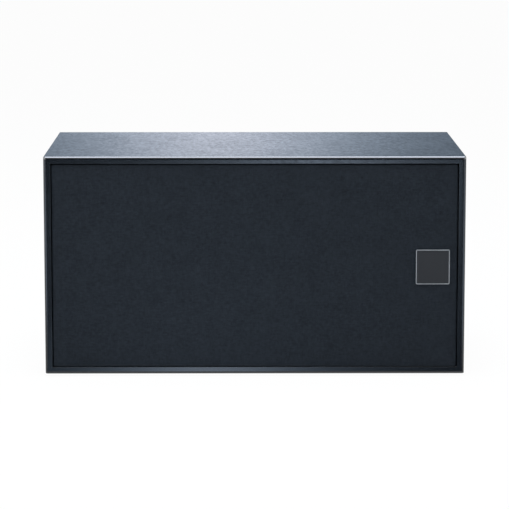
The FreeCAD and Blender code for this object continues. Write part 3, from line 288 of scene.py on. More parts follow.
@dataclass(frozen=True)
class GrilleWeave(Finish):
    """Black acoustic cloth: a fine plain weave, slightly uneven."""

    pitch: float = 0.9 * MM
    slub: Spot = (170, 170, 520)
    cross: Spot = (520, 170, 170)
    patch: float = 260.0
    drift: float = 35.0

    def dress(self, shader: Shader) -> None:
        """Let warp and weft pass over each other by turns.

        Args:
            shader: The empty tree.
        """
        place = shader.place()
        x, y, z = shader.parts(place)
        turn = math.pi / self.pitch
        warp = ((x + y) * turn).math("SINE")
        weft = ((z + y) * turn).math("SINE")
        over = (warp * weft) > 0
        thread = abs(warp) * over + abs(weft) * (1 - over)
        slub = shader.noise(shader.stretched(place, self.slub), 1.0)
        cross = shader.noise(shader.stretched(place, self.cross), 1.0)
        patch = shader.noise(place, self.patch, detail=3)
        drift = shader.noise(place, self.drift)
        tone = thread * 0.25 + slub * 0.25 + cross * 0.2 + (patch * 0.2 + drift * 0.1)
        shader.surface(
            Base_Color=shader.shade(self.colour, (tone - 0.5) * 1.7 + 0.5, low=0.1, high=1.9),
            Roughness=self.roughness,
            Specular_IOR_Level=0.12,
            Sheen_Weight=0.01,
            Sheen_Roughness=0.4,
            Normal=shader.bump(thread * 0.8 + slub * 0.2, strength=0.3, distance=0.25 * MM),
        )


@dataclass(frozen=True)
class Moulded(Finish):
    """Plastic, rubber or paint: a fine moulded grain over broad, faint unevenness."""

    grain: float = 1800.0
    depth: float = 0.05 * MM
    strength: float = 0.25
    coat: float = 0.0
    broad: float = 26.0

    def dress(self, shader: Shader) -> None:
        """Lay the grain over the unevenness.

        Args:
            shader: The empty tree.
        """
        place = shader.place()
        fine = shader.noise(place, self.grain)
        broad = shader.noise(place, self.broad, detail=3)
        shader.surface(
            Base_Color=shader.shade(self.colour, broad * 0.6 + fine * 0.4, low=0.75, high=1.25),
            Roughness=broad * 0.12 + fine * 0.06 + (self.roughness - 0.09),
            Coat_Weight=self.coat,
            Coat_Roughness=0.12,
            Normal=shader.bump(fine, self.strength, self.depth),
        )


@dataclass(frozen=True)
class Brushed(Finish):
    """Metal with a fine brushing along one axis."""

    along: Spot = (60, 2400, 2400)
    metallic: float = 1.0
    stain: float = 55.0

    def dress(self, shader: Shader) -> None:
        """Draw the brushed lines over faint stains.

        Args:
            shader: The empty tree.
        """
        place = shader.place()
        lines = shader.noise(shader.stretched(place, self.along), 1.0, detail=3)
        stain = shader.noise(place, self.stain, detail=3)
        shader.surface(
            Base_Color=shader.shade(self.colour, lines * 0.6 + stain * 0.4, low=0.82, high=1.12),
            Metallic=self.metallic,
            Roughness=lines * 0.14 + stain * 0.08 + (self.roughness - 0.11),
            Normal=shader.bump(lines, strength=0.12, distance=0.03 * MM),
        )


@dataclass(frozen=True)
class Fibrous(Finish):
    """Paper pulp, board or wadding: matted fibres."""

    fibre: float = 520.0
    depth: float = 0.2 * MM
    spread: float = 0.3
    broad: float = 22.0
    bend: float = 0.02

    def dress(self, shader: Shader) -> None:
        """Bend the fibres and mat them together.

        Args:
            shader: The empty tree.
        """
        place = shader.place()
        bent = shader.noise(place, self.fibre * 0.4).pick("Color")
        inputs = {0: bent, "Scale": self.bend}
        twist = shader.node("ShaderNodeVectorMath", {"operation": "SCALE"}, inputs)
        moved = shader.node("ShaderNodeVectorMath", {"operation": "ADD"}, {0: place, 1: twist})
        mat = shader.noise(moved, self.fibre, detail=4, rough=0.65)
        tone = mat * 0.7 + shader.noise(place, self.broad) * 0.3
        shader.surface(
            Base_Color=shader.shade(self.colour, tone, 1 - self.spread, 1 + self.spread),
            Roughness=mat * 0.1 + (self.roughness - 0.05),
            Normal=shader.bump(mat, strength=0.35, distance=self.depth),
        )


@dataclass(frozen=True)
class Wound(Finish):
    """Enamelled wire laid turn by turn along the coil's axis."""

    pitch: float = 0.5 * MM
    stain: float = 90.0

    def dress(self, shader: Shader) -> None:
        """Lay the turns side by side along Y.

        Args:
            shader: The empty tree.
        """
        place = shader.place()
        turns = abs((shader.parts(place)[1] * (math.pi / self.pitch)).math("SINE"))
        stain = shader.noise(place, self.stain)
        shader.surface(
            Base_Color=shader.shade(self.colour, turns * 0.6 + stain * 0.4, low=0.6, high=1.15),
            Metallic=0.85,
            Roughness=stain * 0.12 + (self.roughness - 0.06),
            Normal=shader.bump(turns, strength=0.5, distance=0.2 * MM),
        )


CLAD = CladGrain("black_cladding", (0.006, 0.0078, 0.0105), 0.2)
CLOTH = GrilleWeave("grille_cloth", (0.0132, 0.0164, 0.0211), 0.9)
PAINTED_BOARD = Moulded("painted_board", (0.012, 0.012, 0.0125), 0.62, 900, 0.08 * MM, 0.3)
BARE_BOARD = Fibrous("bare_board", (0.34, 0.235, 0.14), 0.82)
RUBBER = Moulded("rubber", (0.013, 0.013, 0.0135), 0.66, 1500)
SOCKET_RUBBER = Moulded("socket_rubber", (0.02, 0.02, 0.021), 0.8, 1500)
BLACK_PLASTIC = Moulded("grained_plastic", (0.016, 0.016, 0.017), 0.5, 1300, 0.07 * MM, 0.4)
BLACK_GLOSS = Moulded("black_gloss", (0.01, 0.01, 0.011), 0.22, 700, 0.02 * MM, 0.1, 0.4)
RED_GLOSS = Moulded("red_gloss", (0.42, 0.012, 0.01), 0.24, 700, 0.02 * MM, 0.1, 0.4)
NATURAL_NYLON = Moulded("natural_nylon", (0.62, 0.6, 0.54), 0.5)
CAST_COAT = Moulded("coated_casting", (0.02, 0.02, 0.021), 0.48, 1100, 0.1 * MM, 0.4)
CONE_PULP = Fibrous("cone_pulp", (0.02, 0.02, 0.021), 0.58, 700, 0.1 * MM)
SPIDER_CLOTH = Fibrous("spider_cloth", (0.46, 0.33, 0.13), 0.85, 900)
DOME_SILK = Fibrous("dome_silk", (0.014, 0.014, 0.015), 0.5, 1600, 0.05 * MM)
WADDING = Fibrous("wadding", (0.72, 0.72, 0.69), 0.95, 240, 1.2 * MM, 0.15)
BADGE_SILVER = Brushed("badge_silver", (0.34, 0.345, 0.355), 0.38, metallic=0.35)
BADGE_FIELD = Brushed("badge_field", (0.026, 0.026, 0.028), 0.5, (60, 420, 420), 0.2)
PLATED_STEEL = Brushed("plated_steel", (0.56, 0.56, 0.53), 0.38)
BLACK_STEEL = Brushed("black_steel", (0.03, 0.03, 0.031), 0.36, (900, 900, 900), 0.7)
GOLD_PLATE = Brushed("gold_plate", (0.82, 0.6, 0.26), 0.24)
FERRITE = Moulded("ferrite", (0.035, 0.035, 0.038), 0.6, 1400, 0.1 * MM, 0.4)
COPPER = Wound("copper_wire", (0.52, 0.22, 0.09), 0.36)
BOARD_RESIN = Moulded("board_resin", (0.03, 0.12, 0.045), 0.42, 240, 0.1 * MM, 0.4)
CAPACITOR_WRAP = Moulded("capacitor_wrap", (0.62, 0.4, 0.05), 0.34)
CEMENT = Fibrous("resistor_cement", (0.7, 0.69, 0.64), 0.88, 900)
RED_SLEEVE = Moulded("red_sleeve", (0.36, 0.015, 0.013), 0.45)
BLACK_SLEEVE = Moulded("black_sleeve", (0.012, 0.012, 0.013), 0.45)

MOTOR: dict[str, Finish] = {
    "voice_coil": COPPER,
    "top_plate": PLATED_STEEL,
    "magnet": FERRITE,
    "yoke": PLATED_STEEL,
}
POLES: dict[str, Finish] = {"red": RED_GLOSS, "black": BLACK_GLOSS}
SOLID_FINISHES: dict[str, Finish] = {
    "front_baffle": PAINTED_BOARD,
    "rear_panel": CLAD,
    "window_brace": BARE_BOARD,
    "grille_frame": PAINTED_BOARD,
    "grille_pegs": BLACK_PLASTIC,
    "peg_sockets": SOCKET_RUBBER,
    "woofer_gaskets": RUBBER,
    "driver_tabs": GOLD_PLATE,
    "tweeter_faceplate": BLACK_PLASTIC,
    "post_nuts": GOLD_PLATE,
    "crossover_board": BOARD_RESIN,
    "board_standoffs": NATURAL_NYLON,
    "board_screws": PLATED_STEEL,
    "inductors": COPPER,
    "capacitors": CAPACITOR_WRAP,
    "resistors": CEMENT,
    "board_connectors": BLACK_PLASTIC,
    "red_leads": RED_SLEEVE,
    "black_leads": BLACK_SLEEVE,
    **{f"{pole}_post_{part}": GOLD_PLATE for pole in POLES for part in ("stud", "washer")},
    **{f"{pole}_post_{part}": gloss for pole, gloss in POLES.items() for part in ("base", "cap")},
    **{f"tweeter_{part}": finish for part, finish in MOTOR.items()},
    **{f"woofer_{side.value}_{part}": finish for side in Side for part, finish in MOTOR.items()},
    **{f"woofer_{side.value}_basket": CAST_COAT for side in Side},
}


# Mesh tools: lengths in metres, apart from sections, which are in millimetres


def block(low: Sequence[float], high: Sequence[float]) -> BMesh:
    """Make a box.

    Args:
        low: Its lowest corner.
        high: Its highest corner.

    Returns:
        The box.
    """
    bm = bmesh.new()
    ops.create_cube(bm, size=1)
    low, high = Vector(low), Vector(high)
    ops.scale(bm, vec=high - low, verts=bm.verts)
    ops.translate(bm, vec=(low + high) / 2, verts=bm.verts)
    return bm


def face_towards(bm: BMesh, way: int) -> BMFace:
    """Return the outermost face that looks to the front, for -1, or to the back, for 1."""
    bm.normal_update()
    return max(
        bm.faces, key=lambda face: (face.normal.y * way > FACING, face.calc_center_median().y * way)
    )


def push(bm: BMesh, face: BMFace, depth: float) -> BMFace:
    """Push a face along Y, with walls behind it.

    Args:
        bm: The mesh.
        face: The face, which is replaced.
        depth: How far it goes.

    Returns:
        The face in its new place.
    """
    moved = ops.extrude_face_region(bm, geom=[face])["geom"]
    corners = [item for item in moved if isinstance(item, BMVert)]
    ops.translate(bm, vec=(0, depth, 0), verts=corners)
    placed = next(item for item in moved if isinstance(item, BMFace))
    if face.is_valid:
        ops.delete(bm, geom=[face], context="FACES_ONLY")
    return placed


def sink(bm: BMesh, face: BMFace, margin: float, depth: float) -> BMFace:
    """Leave a rim of a face and push the rest along Y; return the face that was pushed."""
    ops.inset_region(bm, faces=[face], thickness=margin, use_even_offset=True)
    return push(bm, face, depth)


def soften(bm: BMesh, geom: Iterable[Union[BMEdge, BMVert]], radius: float, steps: int) -> None:
    """Round edges or corners and shade the rounding smooth.

    Args:
        bm: The mesh.
        geom: Edges, or the corners of a flat face.
        radius: The rounding's radius.
        steps: Its segments.
    """
    geom = list(geom)
    made = ops.bevel(
        bm,
        geom=geom,
        offset=radius,
        offset_type="OFFSET",
        segments=steps,
        profile=0.5,
        affect="EDGES" if isinstance(geom[0], BMEdge) else "VERTICES",
        material=-1,
        clamp_overlap=True,
    )
    for face in made["faces"]:
        face.smooth = True


def edges_along_y(bm: BMesh) -> list[BMEdge]:
    """Return the edges that run from front to back."""
    ways = {edge: edge.verts[1].co - edge.verts[0].co for edge in bm.edges}
    return [edge for edge, way in ways.items() if abs(way.normalized().y) > FACING]


def sharp_edges(bm: BMesh, degrees: float = SHARP) -> list[BMEdge]:
    """Return the edges where two faces meet at more than an angle."""
    bm.normal_update()
    return [edge for edge in bm.edges if math.degrees(edge.calc_face_angle(0)) > degrees]


def level(vert: BMVert, y: float) -> bool:
    """Say whether a corner lies at a depth."""
    return abs(vert.co.y - y) < NEAR


def rim_at(bm: BMesh, y: float) -> list[BMEdge]:
    """Return the sharp edges that lie at a depth."""
    sharp = sharp_edges(bm, RIM_SHARP)
    return [edge for edge in sharp if all(level(vert, y) for vert in edge.verts)]


def smooth(bm: BMesh) -> None:
    """Shade every face smooth."""
    for face in bm.faces:
        face.smooth = True


def rounded_loop(bm: BMesh, half: Pair, y: float, radius: float, steps: int) -> list[BMEdge]:
    """Draw a rounded rectangle across Y.

    Args:
        bm: The mesh that takes the loop.
        half: Half its width and half its height.
        y: Its depth.
        radius: Its corners' radius.
        steps: Segments in each corner.

    Returns:
        The loop's edges; it has no face.
    """
    signs = ((-1, -1), (1, -1), (1, 1), (-1, 1))
    corners = [bm.verts.new((x * half[0], y, z * half[1])) for x, z in signs]
    face = bm.faces.new(corners)
    before = set(bm.faces) - {face}
    soften(bm, corners, radius, steps)
    face = next(item for item in bm.faces if item not in before)
    edges = list(face.edges)
    ops.delete(bm, geom=[face], context="FACES_ONLY")
    return edges


def arc(half: float, rise: float) -> Pair:
    """Return the radius of an arc over half a chord, and half its sweep in degrees."""
    radius = (half**2 + rise**2) / (2 * rise)
    return radius, math.degrees(math.asin(half / radius))


class Profile:
    """Half a section, drawn from point to point and then turned about the Y axis."""

    def __init__(self, radius: float, depth: float) -> None:
        """Start at a radius and a depth."""
        self.bm = bmesh.new()
        self.first = self.tip = self.bm.verts.new((radius * MM, depth * MM, 0))

    def line(self, *points: Pair) -> Profile:
        """Go on in straight lines.

        Args:
            points: Each point's radius and depth.

        Returns:
            The section.
        """
        for radius, depth in points:
            here = self.bm.verts.new((radius * MM, depth * MM, 0))
            self.bm.edges.new((self.tip, here))
            self.tip = here
        return self

    def turn(self, radius: float, depth: float, degrees: float, steps: int) -> Profile:
        """Go on round a centre.

        Args:
            radius: The centre's radius.
            depth: Its depth.
            degrees: The angle.
            steps: Segments.

        Returns:
            The section.
        """
        made = ops.spin(
            self.bm,
            geom=[self.tip],
            cent=(radius * MM, depth * MM, 0),
            axis=(0, 0, 1),
            angle=math.radians(degrees),
            steps=steps,
        )
        self.tip = next(item for item in made["geom_last"] if isinstance(item, BMVert))
        return self

    def close(self) -> Profile:
        """Join the last point to the first."""
        self.bm.edges.new((self.tip, self.first))
        return self

    def lathe(self, centre: Sequence[float], steps: int, wall: float = 0.0) -> BMesh:
        """Turn the section all the way round.

        Args:
            centre: Where the axis passes and depth is nought, in metres.
            steps: Segments round the axis.
            wall: Thickness to give to an open section.

        Returns:
            The turned mesh, smooth except at its corners.
        """
        bm = self.bm
        geom = [*bm.verts, *bm.edges]
        ops.spin(
            bm, geom=geom, cent=(0, 0, 0), axis=(0, 1, 0), angle=math.tau, steps=steps, use_merge=True
        )
        ops.remove_doubles(bm, verts=bm.verts, dist=NEAR / 10)
        ops.recalc_face_normals(bm, faces=bm.faces)
        if wall:
            ops.solidify(bm, geom=bm.faces, thickness=wall * MM)
        smooth(bm)
        for edge in sharp_edges(bm):
            edge.smooth = False
        ops.translate(bm, vec=centre, verts=bm.verts)
        return bm


def join(target: BMesh, source: BMesh) -> None:
    """Add one mesh to another.

    Args:
        target: The mesh that grows.
        source: The mesh that is used up.
    """
    scratch = bpy.data.meshes.new("scratch")
    source.to_mesh(scratch)
    source.free()
    target.from_mesh(scratch)
    bpy.data.meshes.remove(scratch)


class Recess(Enum):
    """The driving recess in a screw's head, as points in shares of the head's radius."""

    HEXAGON = tuple(
        (0.5 * math.cos(math.tau * k / 6), 0.5 * math.sin(math.tau * k / 6)) for k in range(6)
    )
    CROSS = tuple(
        (x * cos - z * sin, x * sin + z * cos)
        for cos, sin in ((1, 0), (0, 1), (-1, 0), (0, -1))
        for x, z in ((0.55, -0.12), (0.55, 0.12), (0.12, 0.12))
    )


@dataclass(frozen=True)
class Screw:
    """A pan-headed screw along Y; sizes in millimetres, the head's form in shares of its size."""

    head: float
    rise: float
    shank: float
    length: float
    recess: Recess
    side: float = 0.45
    shoulder: Pair = (0.9, 0.85)
    crown: float = 0.62
    pit: float = 0.8
    steps: int = 24

    def mesh(self, spots: Sequence[Spot], flip: bool = False) -> BMesh:
        """Make screws at the spots under their heads.

        Args:
            spots: Where each head's underside sits.
            flip: True where the heads look towards +Y.

        Returns:
            All the screws in one mesh.
        """
        bm = bmesh.new()
        for spot in spots:
            screw = self._one()
            ops.scale(screw, vec=(1, -1 if flip else 1, 1), verts=screw.verts)
            ops.translate(screw, vec=spot, verts=screw.verts)
            join(bm, screw)
        ops.recalc_face_normals(bm, faces=bm.faces)
        return bm

    def _one(self) -> BMesh:
        """Turn one screw's body and bridge the recess into its head.

        Returns:
            The screw, its head's underside at the origin and its top towards -Y.
        """
        head, rise = self.head, self.rise
        body = Profile(0, self.length).line(
            (self.shank, self.length),
            (self.shank, 0),
            (head, 0),
            (head, -self.side * rise),
            (self.shoulder[0] * head, -self.shoulder[1] * rise),
            (self.crown * head, -rise),
        )
        turned = body.lathe((0, 0, 0), self.steps)
        rim = [edge for edge in turned.edges if edge.is_boundary]
        points = [(x * head * MM, -rise * MM, z * head * MM) for x, z in self.recess.value]
        top = [turned.verts.new(point) for point in points]
        loop = [turned.edges.new((top[k - 1], top[k])) for k in range(len(top))]
        ops.bridge_loops(turned, edges=rim + loop)
        push(turned, turned.faces.new(top), self.pit * rise * MM)
        return turned


# Objects


def show(name: str, bm: BMesh, material: Material) -> Object:
    """Turn a mesh into an object at the origin.

    Args:
        name: The object's name.
        bm: The mesh, which is used up.
        material: Its only material.

    Returns:
        The object.
    """
    mesh = bpy.data.meshes.new(name)
    bm.to_mesh(mesh)
    bm.free()
    mesh.materials.append(material)
    made = bpy.data.objects.new(name, mesh)
    bpy.context.scene.collection.objects.link(made)
    return made


def stand(data: bpy.types.ID, place: Spot, aim: Spot) -> Object:
    """Put a lamp or a camera up.

    Args:
        data: The lamp or the camera.
        place: Where it stands.
        aim: What it looks at.

    Returns:
        Its object, of the same name.
    """
    made = bpy.data.objects.new(data.name, data)
    bpy.context.scene.collection.objects.link(made)
    made.location = place
    made.rotation_euler = (Vector(aim) - Vector(place)).to_track_quat("-Z", "Y").to_euler()
    return made


def piece(
    bm: BMesh,
    name: str,
    finish: Finish,
    stands_for: Sequence[str] = (),
    body: str = "",
) -> Object:
    """Turn a mesh into a piece of the speaker.

    Args:
        bm: The mesh, which is used up.
        name: The piece's name.
        finish: Its finish.
        stands_for: Solids that it replaces.
        body: The body it rides on; empty for a piece that rides on none.

    Returns:
        The new object, at the origin.
    """
    made = show(name, bm, finish.material())
    if body:
        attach(made, body)
    if stands_for:
        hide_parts(*stands_for)
    LOG.info("%s: %d faces, %s", name, len(made.data.polygons), finish.name)
    return made


def front_centre(node: str) -> Vector:
    """Return the middle of a solid's front."""
    low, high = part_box(node)
    return Vector(((low.x + high.x) / 2, low.y, (low.z + high.z) / 2))


# Sub-assemblies: sizes in millimetres


@dataclass
class Cabinet:
    """The clad box, its feet and the wadding inside."""

    lip: float = 8.5
    wall: float = 18
    baffle_back: float = -102.5
    rear_lip: float = 9
    rear_inside: float = 124.5
    front_round: float = 4
    edge_round: float = 1.5
    seam_round: float = 0.3
    round_steps: int = 8
    foot_radius: float = 11
    foot_height: float = 3
    foot_round: float = 1.2
    sole_radius: float = 7
    sole_rim: float = 8
    sole_depth: float = 0.4
    pad_inset: float = 1.5
    pad_gap: float = 1
    pad_cuts: int = 9
    pad_passes: int = 6
    body: str = "cabinet"

    def build(self) -> None:
        """Make every piece of the box."""
        self.shell()
        self.feet()
        for side in Side:
            self.pad(side)

    def shell(self) -> None:
        """Make the folded wrap with its rebates and rounded front edges."""
        low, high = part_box("cabinet_wrap")
        bm = block(low, high)
        front_depth = self.baffle_back * MM - low.y
        front = sink(bm, face_towards(bm, -1), self.lip * MM, front_depth)
        rear_depth = self.rear_inside * MM - high.y
        rear = sink(bm, face_towards(bm, 1), self.rear_lip * MM, rear_depth)
        ops.inset_region(bm, faces=[front], thickness=(self.wall - self.lip) * MM)
        ops.inset_region(bm, faces=[rear], thickness=(self.wall - self.rear_lip) * MM)
        rims = [*front.edges, *rear.edges]
        ops.delete(bm, geom=[front, rear], context="FACES_ONLY")
        ops.bridge_loops(bm, edges=rims)
        ops.recalc_face_normals(bm, faces=bm.faces)
        weight = bm.edges.layers.float.new("bevel_weight_edge")
        for edge in bm.edges:
            edge[weight] = self._rounding(edge, low, high) / self.front_round
        smooth(bm)
        made = piece(bm, "cabinet_shell", CLAD, ["cabinet_wrap"], self.body)
        bevel = made.modifiers.new("rounded_edges", "BEVEL")
        bevel.limit_method = "WEIGHT"
        bevel.width = self.front_round * MM
        bevel.segments = self.round_steps
        made.modifiers.new("even_shading", "WEIGHTED_NORMAL")

    def _rounding(self, edge: BMEdge, low: Vector, high: Vector) -> float:
        """Choose one edge's radius.

        Args:
            edge: The edge.
            low: The box's lowest corner.
            high: The box's highest corner.

        Returns:
            The radius, nought for an edge that stays sharp.
        """
        outer = all(self._on_corner(vert.co, low, high) for vert in edge.verts)
        if all(level(vert, low.y) for vert in edge.verts):
            return self.front_round if outer else self.seam_round
        if outer:
            return self.edge_round
        return self.seam_round if all(level(vert, high.y) for vert in edge.verts) else 0.0

    @staticmethod
    def _on_corner(spot: Vector, low: Vector, high: Vector) -> bool:
        """Say whether a spot lies on one of the box's four corners, seen from the front."""
        across = min(spot.x - low.x, high.x - spot.x)
        return max(across, min(spot.z - low.z, high.z - spot.z)) < NEAR

    def feet(self) -> None:
        """Make the four rubber feet with a dished sole."""
        low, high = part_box("rubber_feet")
        radius, flat = self.foot_radius, self.foot_radius - self.foot_round
        bm = bmesh.new()
        for x in (low.x + radius * MM, high.x - radius * MM):
            for y in (low.y + radius * MM, high.y - radius * MM):
                foot = Profile(0, self.sole_depth)
                foot.line((self.sole_radius, self.sole_depth), (self.sole_rim, 0), (flat, 0))
                foot.turn(flat, self.foot_round, degrees=90, steps=5)
                foot.line((radius, self.foot_height), (0, self.foot_height))
                turned = foot.lathe((0, 0, 0), steps=40)
                ops.rotate(turned, verts=turned.verts, cent=(0, 0, 0), matrix=UPRIGHT)
                ops.translate(turned, vec=(x, y, 0), verts=turned.verts)
                join(bm, turned)
        piece(bm, "feet_dressed", RUBBER, ["rubber_feet"], self.body)

    def pad(self, side: Side) -> None:
        """Make one block of wadding, crowned and pinched in along its edges.

        Args:
            side: The side it lies on.
        """
        node = f"damping_{side.value}"
        low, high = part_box(node)
        inset = Vector((1, 1, 1)) * self.pad_inset * MM
        bm = block(low + inset, high - inset)
        ops.subdivide_edges(bm, edges=bm.edges, cuts=self.pad_cuts, use_grid_fill=True)
        axes = {f"use_axis_{axis}": True for axis in "xyz"}
        for _ in range(self.pad_passes):
            ops.smooth_vert(bm, verts=bm.verts, factor=0.5, **axes)
        grow = []
        for axis in range(3):
            reach = [vert.co[axis] for vert in bm.verts]
            room = high[axis] - low[axis] - 2 * self.pad_gap * MM
            grow.append(room / (max(reach) - min(reach)))
        middle = (low + high) / 2
        ops.translate(bm, vec=-middle, verts=bm.verts)
        ops.scale(bm, vec=grow, verts=bm.verts)
        ops.translate(bm, vec=middle, verts=bm.verts)
        smooth(bm)
        made = piece(bm, f"wadding_{side.value}", WADDING, [node], self.body)


@dataclass
class Grille:
    """The cloth over its frame, and the plate on it."""

    cloth: float = 0.78
    wrap: float = 14.2
    edge: float = 0.6
    corner: float = 2.0
    hem: float = 1.0
    badge_round: float = 1.6
    badge_edge: float = 0.15
    badge_rim: float = 0.95
    badge_sink: float = 0.6
    field_gap: float = 0.05
    field_front: float = 0.15
    field_back: float = 0.02
    field_round: float = 0.5
    body: str = "grille"

    def build(self) -> None:
        """Make the cloth and the plate."""
        self.fabric()
        self.badge()

    def fabric(self) -> None:
        """Make the stretched cloth: a flat front turned back over the frame's four edges."""
        low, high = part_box("grille_cloth")
        low.z -= self.hem * MM
        bm = block(low, (high.x, low.y + self.wrap * MM, high.z))
        ops.delete(bm, geom=[face_towards(bm, 1)], context="FACES")
        soften(bm, edges_along_y(bm), self.corner * MM, steps=5)
        soften(bm, rim_at(bm, low.y), self.edge * MM, steps=4)
        ops.recalc_face_normals(bm, faces=bm.faces)
        made = piece(bm, "grille_fabric", CLOTH, ["grille_cloth"], self.body)
        wall = made.modifiers.new("cloth_thickness", "SOLIDIFY")
        wall.thickness = self.cloth * MM
        wall.offset = -1

    def badge(self) -> None:
        """Make the plain plate: a bright rim round a dull, bare field."""
        low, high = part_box("badge_plate")
        bm = block(low, high)
        soften(bm, edges_along_y(bm), self.badge_round * MM, steps=5)
        rim = self.badge_rim * MM
        sunk = self.badge_sink * MM
        sink(bm, face_towards(bm, -1), rim, sunk)
        soften(bm, rim_at(bm, low.y), self.badge_edge * MM, steps=3)
        piece(bm, "badge_rim", BADGE_SILVER, ["badge_plate"], self.body)
        margin = rim + self.field_gap * MM
        floor = low.y + sunk
        inlay = block(
            (low.x + margin, floor - self.field_front * MM, low.z + margin),
            (high.x - margin, floor - self.field_back * MM, high.z - margin),
        )
        soften(inlay, edges_along_y(inlay), self.field_round * MM, steps=3)
        piece(inlay, "badge_field", BADGE_FIELD, body=self.body)


@dataclass
class Woofer:
    """One woofer's moving and flexing pieces, by radius and by depth behind the baffle's front."""

    side: Side
    cone_radius: float = 63
    cone_rim: float = 4
    neck_radius: float = 15.7
    neck_depth: float = 27
    ledge: float = 1.6
    paper: float = 0.9
    roll_outside: float = 73
    ledge_outside: float = 77
    roll_wall: float = 0.9
    cap_radius: float = 24
    cap_rise: float = 8.5
    cap_wall: float = 0.7
    spider_depth: float = 36.65
    spider_gap: float = 0.2
    spider_grip: float = 1
    spider_seat: float = 41
    spider_outside: float = 45
    spider_wave: float = 1.1
    spider_waves: int = 5
    spider_wall: float = 0.6

    @property
    def name(self) -> str:
        """The woofer's prefix."""
        return f"woofer_{self.side.value}"

    @property
    def body(self) -> str:
        """The moving body."""
        return f"{self.side.value}_diaphragm"

    @property
    def centre(self) -> Vector:
        """Where the axis crosses the baffle's front."""
        return front_centre(f"{self.name}_basket")

    def build(self) -> None:
        """Make the cone, the cap, the surround and the spider."""
        self.cone()
        self.cap()
        self.surround()
        self.spider()

    def part(self, bm: BMesh, name: str, finish: Finish, slot: str, body: str = "") -> Object:
        """Make a piece that stands for the woofer's solid of that name, and return it."""
        node = f"{self.name}_{name}"
        return piece(bm, f"{node}_dressed", finish, [node], body)

    def cone(self) -> None:
        """Make the straight cone with its glue rim."""
        inner = self.cone_radius - self.cone_rim
        section = Profile(inner, self.ledge).line(
            (self.cone_radius, self.ledge),
            (self.cone_radius, self.ledge + self.paper),
            (inner, self.ledge + self.paper),
            (self.neck_radius, self.neck_depth + self.paper),
            (self.neck_radius, self.neck_depth),
        )
        bm = section.close().lathe(self.centre, steps=128)
        self.part(bm, "cone", CONE_PULP, "cone_paper", self.body)

    def cap(self) -> None:
        """Make the domed dust cap."""
        inner = self.cone_radius - self.cone_rim
        slope = (self.neck_depth - self.ledge) / (inner - self.neck_radius)
        foot = self.neck_depth - slope * (self.cap_radius - self.neck_radius)
        apex = foot - self.cap_rise
        ball, sweep = arc(self.cap_radius, self.cap_rise)
        section = Profile(0, apex).turn(0, apex + ball, sweep, steps=16)
        bm = section.lathe(self.centre, steps=96, wall=-self.cap_wall)
        self.part(bm, "dust_cap", CONE_PULP, "cone_paper", self.body)

    def surround(self) -> None:
        """Make the rubber half roll, which flexes between the cone and the basket."""
        middle = self.ledge - self.roll_wall / 2
        inner = self.cone_radius + self.roll_wall / 2
        outer = self.roll_outside - self.roll_wall / 2
        section = Profile(self.cone_radius - self.cone_rim, middle).line((inner, middle))
        section.turn((inner + outer) / 2, middle, degrees=180, steps=20)
        section.line((self.ledge_outside, middle))
        bm = section.lathe(self.centre, steps=144, wall=self.roll_wall)
        self.flex(self.part(bm, "surround", RUBBER, "rubber"))

    def spider(self) -> None:
        """Make the corrugated disc that centres the coil."""
        step = (self.spider_seat - self.neck_radius) / self.spider_waves
        section = Profile(self.neck_radius + self.spider_gap, self.spider_depth)
        for number in range(self.spider_waves):
            rise = self.spider_wave * (-1) ** number
            section.line((self.neck_radius + step * (number + 0.5), self.spider_depth + rise))
        section.line((self.spider_seat, self.spider_depth), (self.spider_outside, self.spider_depth))
        bm = section.lathe(self.centre, steps=96, wall=self.spider_wall)
        made = self.part(bm, "spider", SPIDER_CLOTH, "spider_cloth")
        self.flex(made)

    def flex(self, made: Object) -> None:
        """Bake a ring's placement into its mesh; the ring rides on no body.

        Args:
            made: The ring.
        """
        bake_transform(made)


@dataclass
class Tweeter:
    """The tweeter's soft dome, by radius and by depth behind the baffle's front."""

    dome_radius: float = 13
    dome_rise: float = 6
    base: float = 11
    roll_outside: float = 17.5
    roll_rise: float = 1.2
    ring: float = 30
    silk: float = 0.5

    def build(self) -> None:
        """Make the dome, its roll and its ring as one sheet of coated silk."""
        apex = self.base - self.dome_rise
        ball, sweep = arc(self.dome_radius, self.dome_rise)
        section = Profile(0, apex).turn(0, apex + ball, sweep, steps=16)
        half = (self.roll_outside - self.dome_radius) / 2
        roll, sweep = arc(half, self.roll_rise)
        depth = self.base + roll - self.roll_rise
        section.turn(self.dome_radius + half, depth, 2 * sweep, steps=8)
        section.line((self.ring, self.base))
        bm = section.lathe(front_centre("tweeter_faceplate"), steps=96, wall=-self.silk)
        piece(bm, "tweeter_dome_dressed", DOME_SILK, ["tweeter_dome"], "cabinet")


